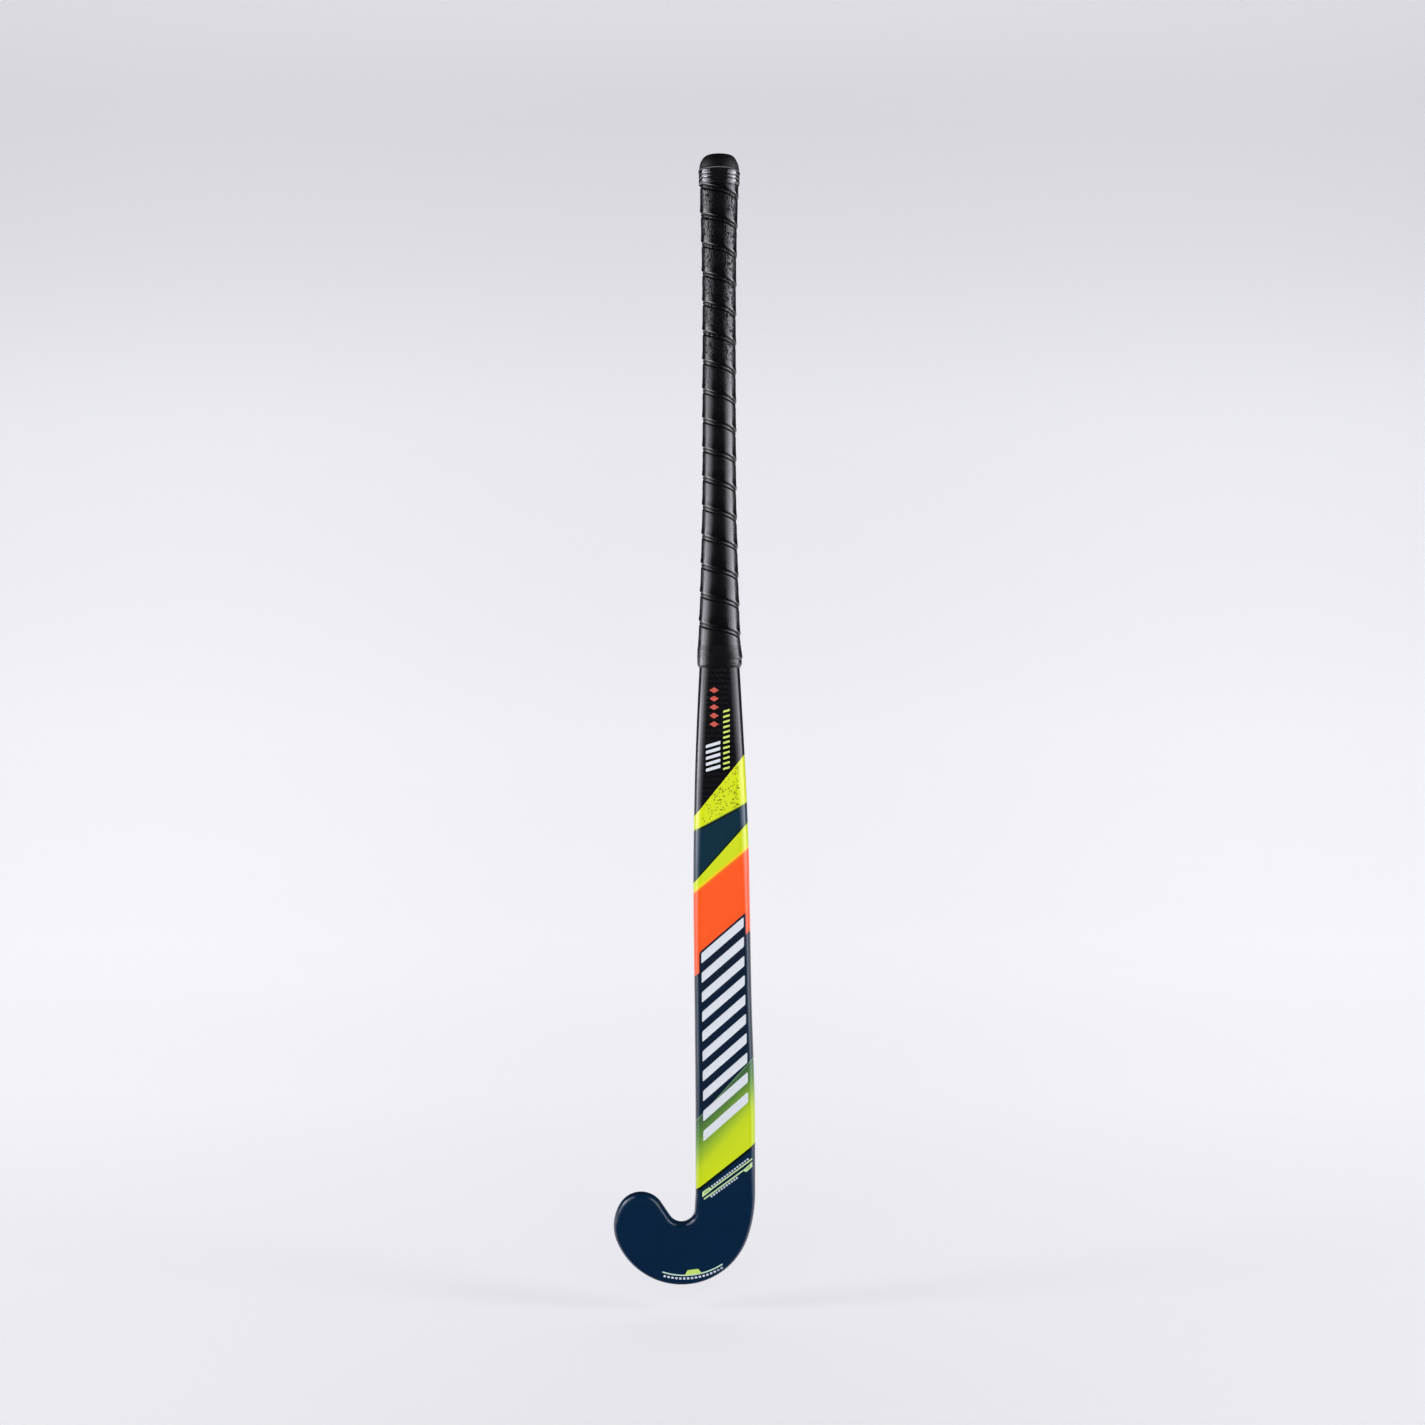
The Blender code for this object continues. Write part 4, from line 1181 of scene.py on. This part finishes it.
def make_tubes():
    """The two carbon tubes inside the shaft, each in a lower and an upper length."""
    paint = Paint("carbon_tube", srgb(34, 34, 36), 0.4)
    tow = weave(paint, 0.0015, 0.6)
    carbon = paint.drive(
        Base_Color=paint.blend(tow, srgb(26, 26, 28), srgb(52, 52, 56)),
        Normal=paint.bump(tow, 0.00003, 0.4),
        Roughness=paint.remap(paint.noise(80.0), 0.3, 0.7, 0.34, 0.5),
    )
    outer_inset, outer_gap = WALL + INNER_GAP, GAP / 2
    inner_inset, inner_gap = outer_inset + TUBE_WALL, outer_gap + TUBE_WALL
    lengths = (("lower", TUBE_BOTTOM_Z, TUBE_SPLICE_Z), ("upper", TUBE_SPLICE_Z, TUBE_TOP_Z))
    for side, direction in (("left", -1), ("right", 1)):
        for part, low, high in lengths:
            heights = spaced(high, low, 0.009)
            outer = [tube_ring(z, direction, outer_inset, outer_gap) for z in heights]
            inner = [tube_ring(z, direction, inner_inset, inner_gap) for z in heights]
            name = f"tube_{side}_{part}"
            sleeve(name, outer, inner, carbon, [f"inner_tube_{side}"])


def dress_inner_nodes():
    """Materials for the CAD pieces that keep their own shape: two mixed colours and some relief."""
    foam = Paint("foam_core", srgb(196, 190, 168), 0.9)
    plug = Paint("plug_polymer", srgb(84, 84, 89), 0.7)
    liner = Paint("liner_backing", srgb(34, 34, 36), 0.85)
    threads = liner.noise(1.0, 4.0, liner.mapped((1400.0, 1400.0, 300.0)))
    looks = (
        ("head_core", foam, foam.cells(900.0)[0], srgb(226, 221, 204), 0.0002, 0.6),
        ("butt_plug", plug, plug.noise(500.0), srgb(106, 106, 111), 0.00008, 0.5),
        ("grip_liner", liner, threads, srgb(60, 60, 62), 0.00008, 0.5),
    )
    for node, paint, share, light, depth, strength in looks:
        colour = paint.blend(share, paint.colour, light)
        material = paint.drive(Base_Color=colour, Normal=paint.bump(share, depth, strength))
        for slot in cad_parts[node].material_slots:
            slot.material = material


# ---- Camera, light and stage ----

VIEW_HEIGHT = 0.469
VIEW_X = 0.0229
VIEW_DISTANCE = 1.8011
VIEW_LENS = 55.07
SENSOR = 36.0


def make_camera():
    data = bpy.data.cameras.new("camera")
    data.lens = VIEW_LENS
    data.sensor_width = SENSOR
    camera = add_object("camera", data)
    camera.location = (VIEW_X, -VIEW_DISTANCE, VIEW_HEIGHT)
    camera.rotation_euler = (radians(90), 0.0, 0.0)
    bpy.context.scene.camera = camera


def soft_box(name, azimuth, distance, width, height, z, radiance):
    """An upright panel that faces the stick. Azimuth is measured from the camera's side."""
    data = bpy.data.lights.new(name, "AREA")
    data.shape = "RECTANGLE"
    data.size, data.size_y = width, height
    data.energy = radiance * pi * width * height
    light = add_object(name, data)
    turn = radians(azimuth)
    place = Vector((VIEW_X + distance * sin(turn), -distance * cos(turn), z))
    light.location = place
    aim = Vector((VIEW_X, 0.0, z)) - place
    light.rotation_euler = aim.to_track_quat("-Z", "Y").to_euler()
    light.visible_camera = False
    return light


# Middle height and height of each part of a strip.
STRIP_PARTS = (
    (0.06, 0.16), (0.23, 0.18), (0.36, 0.08), (0.45, 0.10), (0.62, 0.24), (0.83, 0.18), (1.08, 0.32),
)
STRIP_DISTANCE = 0.60
STRIP_WIDTH = 0.21
STRIP_COLOUR = (0.97, 0.96, 1.06)
STRIP_LOW_COLOUR = (1.03, 1.18, 1.32)
STRIP_LOW_TOP_Z = 0.30
# Each strip's azimuth from the camera's side in degrees, and the radiance of those parts.
STRIPS = (
    (-96.0, 0.9, 2.4, 6.6, 10.5, 4.5, 2.8, 4.0),
    (-77.0, 0.5, 1.3, 3.3, 4.2, 2.9, 1.6, 2.5),
    (-60.0, 0.2, 0.4, 0.9, 0.9, 1.0, 0.6, 0.8),
    (92.0, 1.3, 2.8, 5.5, 6.0, 5.1, 5.0, 4.0),
    (74.0, 0.7, 1.5, 3.2, 3.3, 3.1, 3.2, 2.4),
    (56.0, 0.2, 0.5, 1.0, 1.1, 1.2, 1.1, 1.0),
)


def make_lights():
    """Tall strips that only the gloss shows, the rear ones brightest, and boxes for the rest."""
    for azimuth, *radiances in STRIPS:
        for (z, height), radiance in zip(STRIP_PARTS, radiances):
            name = f"strip_{azimuth:.0f}_{z}"
            strip = soft_box(name, azimuth, STRIP_DISTANCE, STRIP_WIDTH, height, z, radiance)
            strip.data.color = STRIP_LOW_COLOUR if z < STRIP_LOW_TOP_Z else STRIP_COLOUR
            strip.visible_diffuse = False
    for azimuth in (-70.0, 70.0):
        side = soft_box(f"side_{azimuth:.0f}", azimuth, 3.0, 1.0, 2.0, 1.1, 8.0)
        side.visible_glossy = False
    fill = soft_box("front_fill", 0.0, 3.2, 3.0, 2.6, 1.0, 2.0)
    fill.visible_glossy = False


def make_world():
    """Nearly black, except where the camera looks past the sweep."""
    world = bpy.data.worlds.new("studio")
    bpy.context.scene.world = world
    world.use_nodes = True
    nodes, links = world.node_tree.nodes, world.node_tree.links
    path = nodes.new("ShaderNodeLightPath")
    blend = nodes.new("ShaderNodeMix")
    blend.data_type = "RGBA"
    blend.inputs[6].default_value = (0.03, 0.03, 0.032, 1.0)
    blend.inputs[7].default_value = srgb(226, 226, 232)
    links.new(path.outputs["Is Camera Ray"], blend.inputs[0])
    links.new(blend.outputs[2], nodes["Background"].inputs["Color"])


FLOOR_Z = -0.0225
SWEEP_RADIUS = 1.3
SWEEP_WALL_Y = 4.2
SWEEP_TOP_Z = 6.0
SWEEP_NEAR_LENGTH = 0.05
SWEEP_MIRROR_TOP_Z = 0.30
# Length along the sweep, zero under the stick, and the light that the paper gives of its own
# behind the stick and off to the sides.
SWEEP_GLOW = (
    (-0.3, 0.51, 0.54), (0.0, 0.545, 0.555), (0.5, 0.59, 0.61), (1.0, 0.635, 0.67),
    (2.2, 0.68, 0.72), (2.9, 0.68, 0.72), (3.5, 0.66, 0.705), (4.0, 0.63, 0.675),
    (4.7, 0.52, 0.565), (5.4, 0.41, 0.43), (5.8, 0.375, 0.395), (6.1, 0.445, 0.445),
)


def sweep_glow(length, x, y):
    """The paper's own light at a place: brighter or dimmer at the sides than in the middle."""
    lengths, middle, sides = zip(*SWEEP_GLOW)
    aside = abs(x - VIEW_X) / (y + VIEW_DISTANCE) * 2 * VIEW_LENS / SENSOR
    ends = [float(np.interp(length, lengths, glow)) for glow in (middle, sides)]
    return mix(*ends, smoothstep(0.05, 0.85, aside))


def make_stage():
    """A pale seamless sweep: floor, curve and wall. It glows a little, more towards the wall."""
    curve_y = SWEEP_WALL_Y - SWEEP_RADIUS
    profile = [(-9.0, -9.0, FLOOR_Z)] + [(y, y, FLOOR_Z) for y in spaced(-3.0, curve_y, 0.1)]
    for i in range(1, 41):
        turn = pi / 2 * i / 40
        y = curve_y + SWEEP_RADIUS * sin(turn)
        z = FLOOR_Z + SWEEP_RADIUS * (1 - cos(turn))
        profile.append((curve_y + SWEEP_RADIUS * turn, y, z))
    bend = profile[-1][0]
    for z in spaced(FLOOR_Z + SWEEP_RADIUS, SWEEP_TOP_Z, 0.1)[1:]:
        profile.append((bend + z - FLOOR_Z - SWEEP_RADIUS, SWEEP_WALL_Y, z))
    columns = [-9.0, *spaced(-3.0, 3.0, 0.1), 9.0]
    paint = Paint("sweep_paper", (0.50, 0.50, 0.525, 1.0), 0.9, Specular_IOR_Level=0.0)
    paint.shader.inputs["Emission Color"].default_value = (1.0, 1.0, 1.05, 1.0)
    paper = paint.drive(Emission_Strength=paint.attribute("glow"))
    # The stick mirrors only the low part behind it: the rest of the room is dark to it.
    near = sum(length < SWEEP_NEAR_LENGTH for length, _, _ in profile) - 1
    far = sum(z < SWEEP_MIRROR_TOP_Z for _, _, z in profile) - 1
    parts = {
        "sweep_front": profile[: near + 1],
        "sweep_back": profile[near : far + 1],
        "sweep_wall": profile[far:],
    }
    for name, part in parts.items():
        bm = bmesh.new()
        grid(bm, [[bm.verts.new((x, y, z)) for x in columns] for _, y, z in part])
        sweep = add_mesh(name, bm, paper)
        glow = [sweep_glow(length, x, max(y, -1.0)) for length, y, _ in part for x in columns]
        mark_points(sweep, "glow", glow)
        sweep.visible_glossy = name == "sweep_back"


make_camera()
make_stage()
make_lights()
make_world()
paint_bands = band_list()
make_skin(paint_bands)
make_guards(paint_bands)
make_shaft_marks()
make_head_marks()
make_grip()
make_top_tape()
make_collar()
make_cap()
make_tubes()
dress_inner_nodes()

bpy.context.scene.view_settings.view_transform = "Standard"
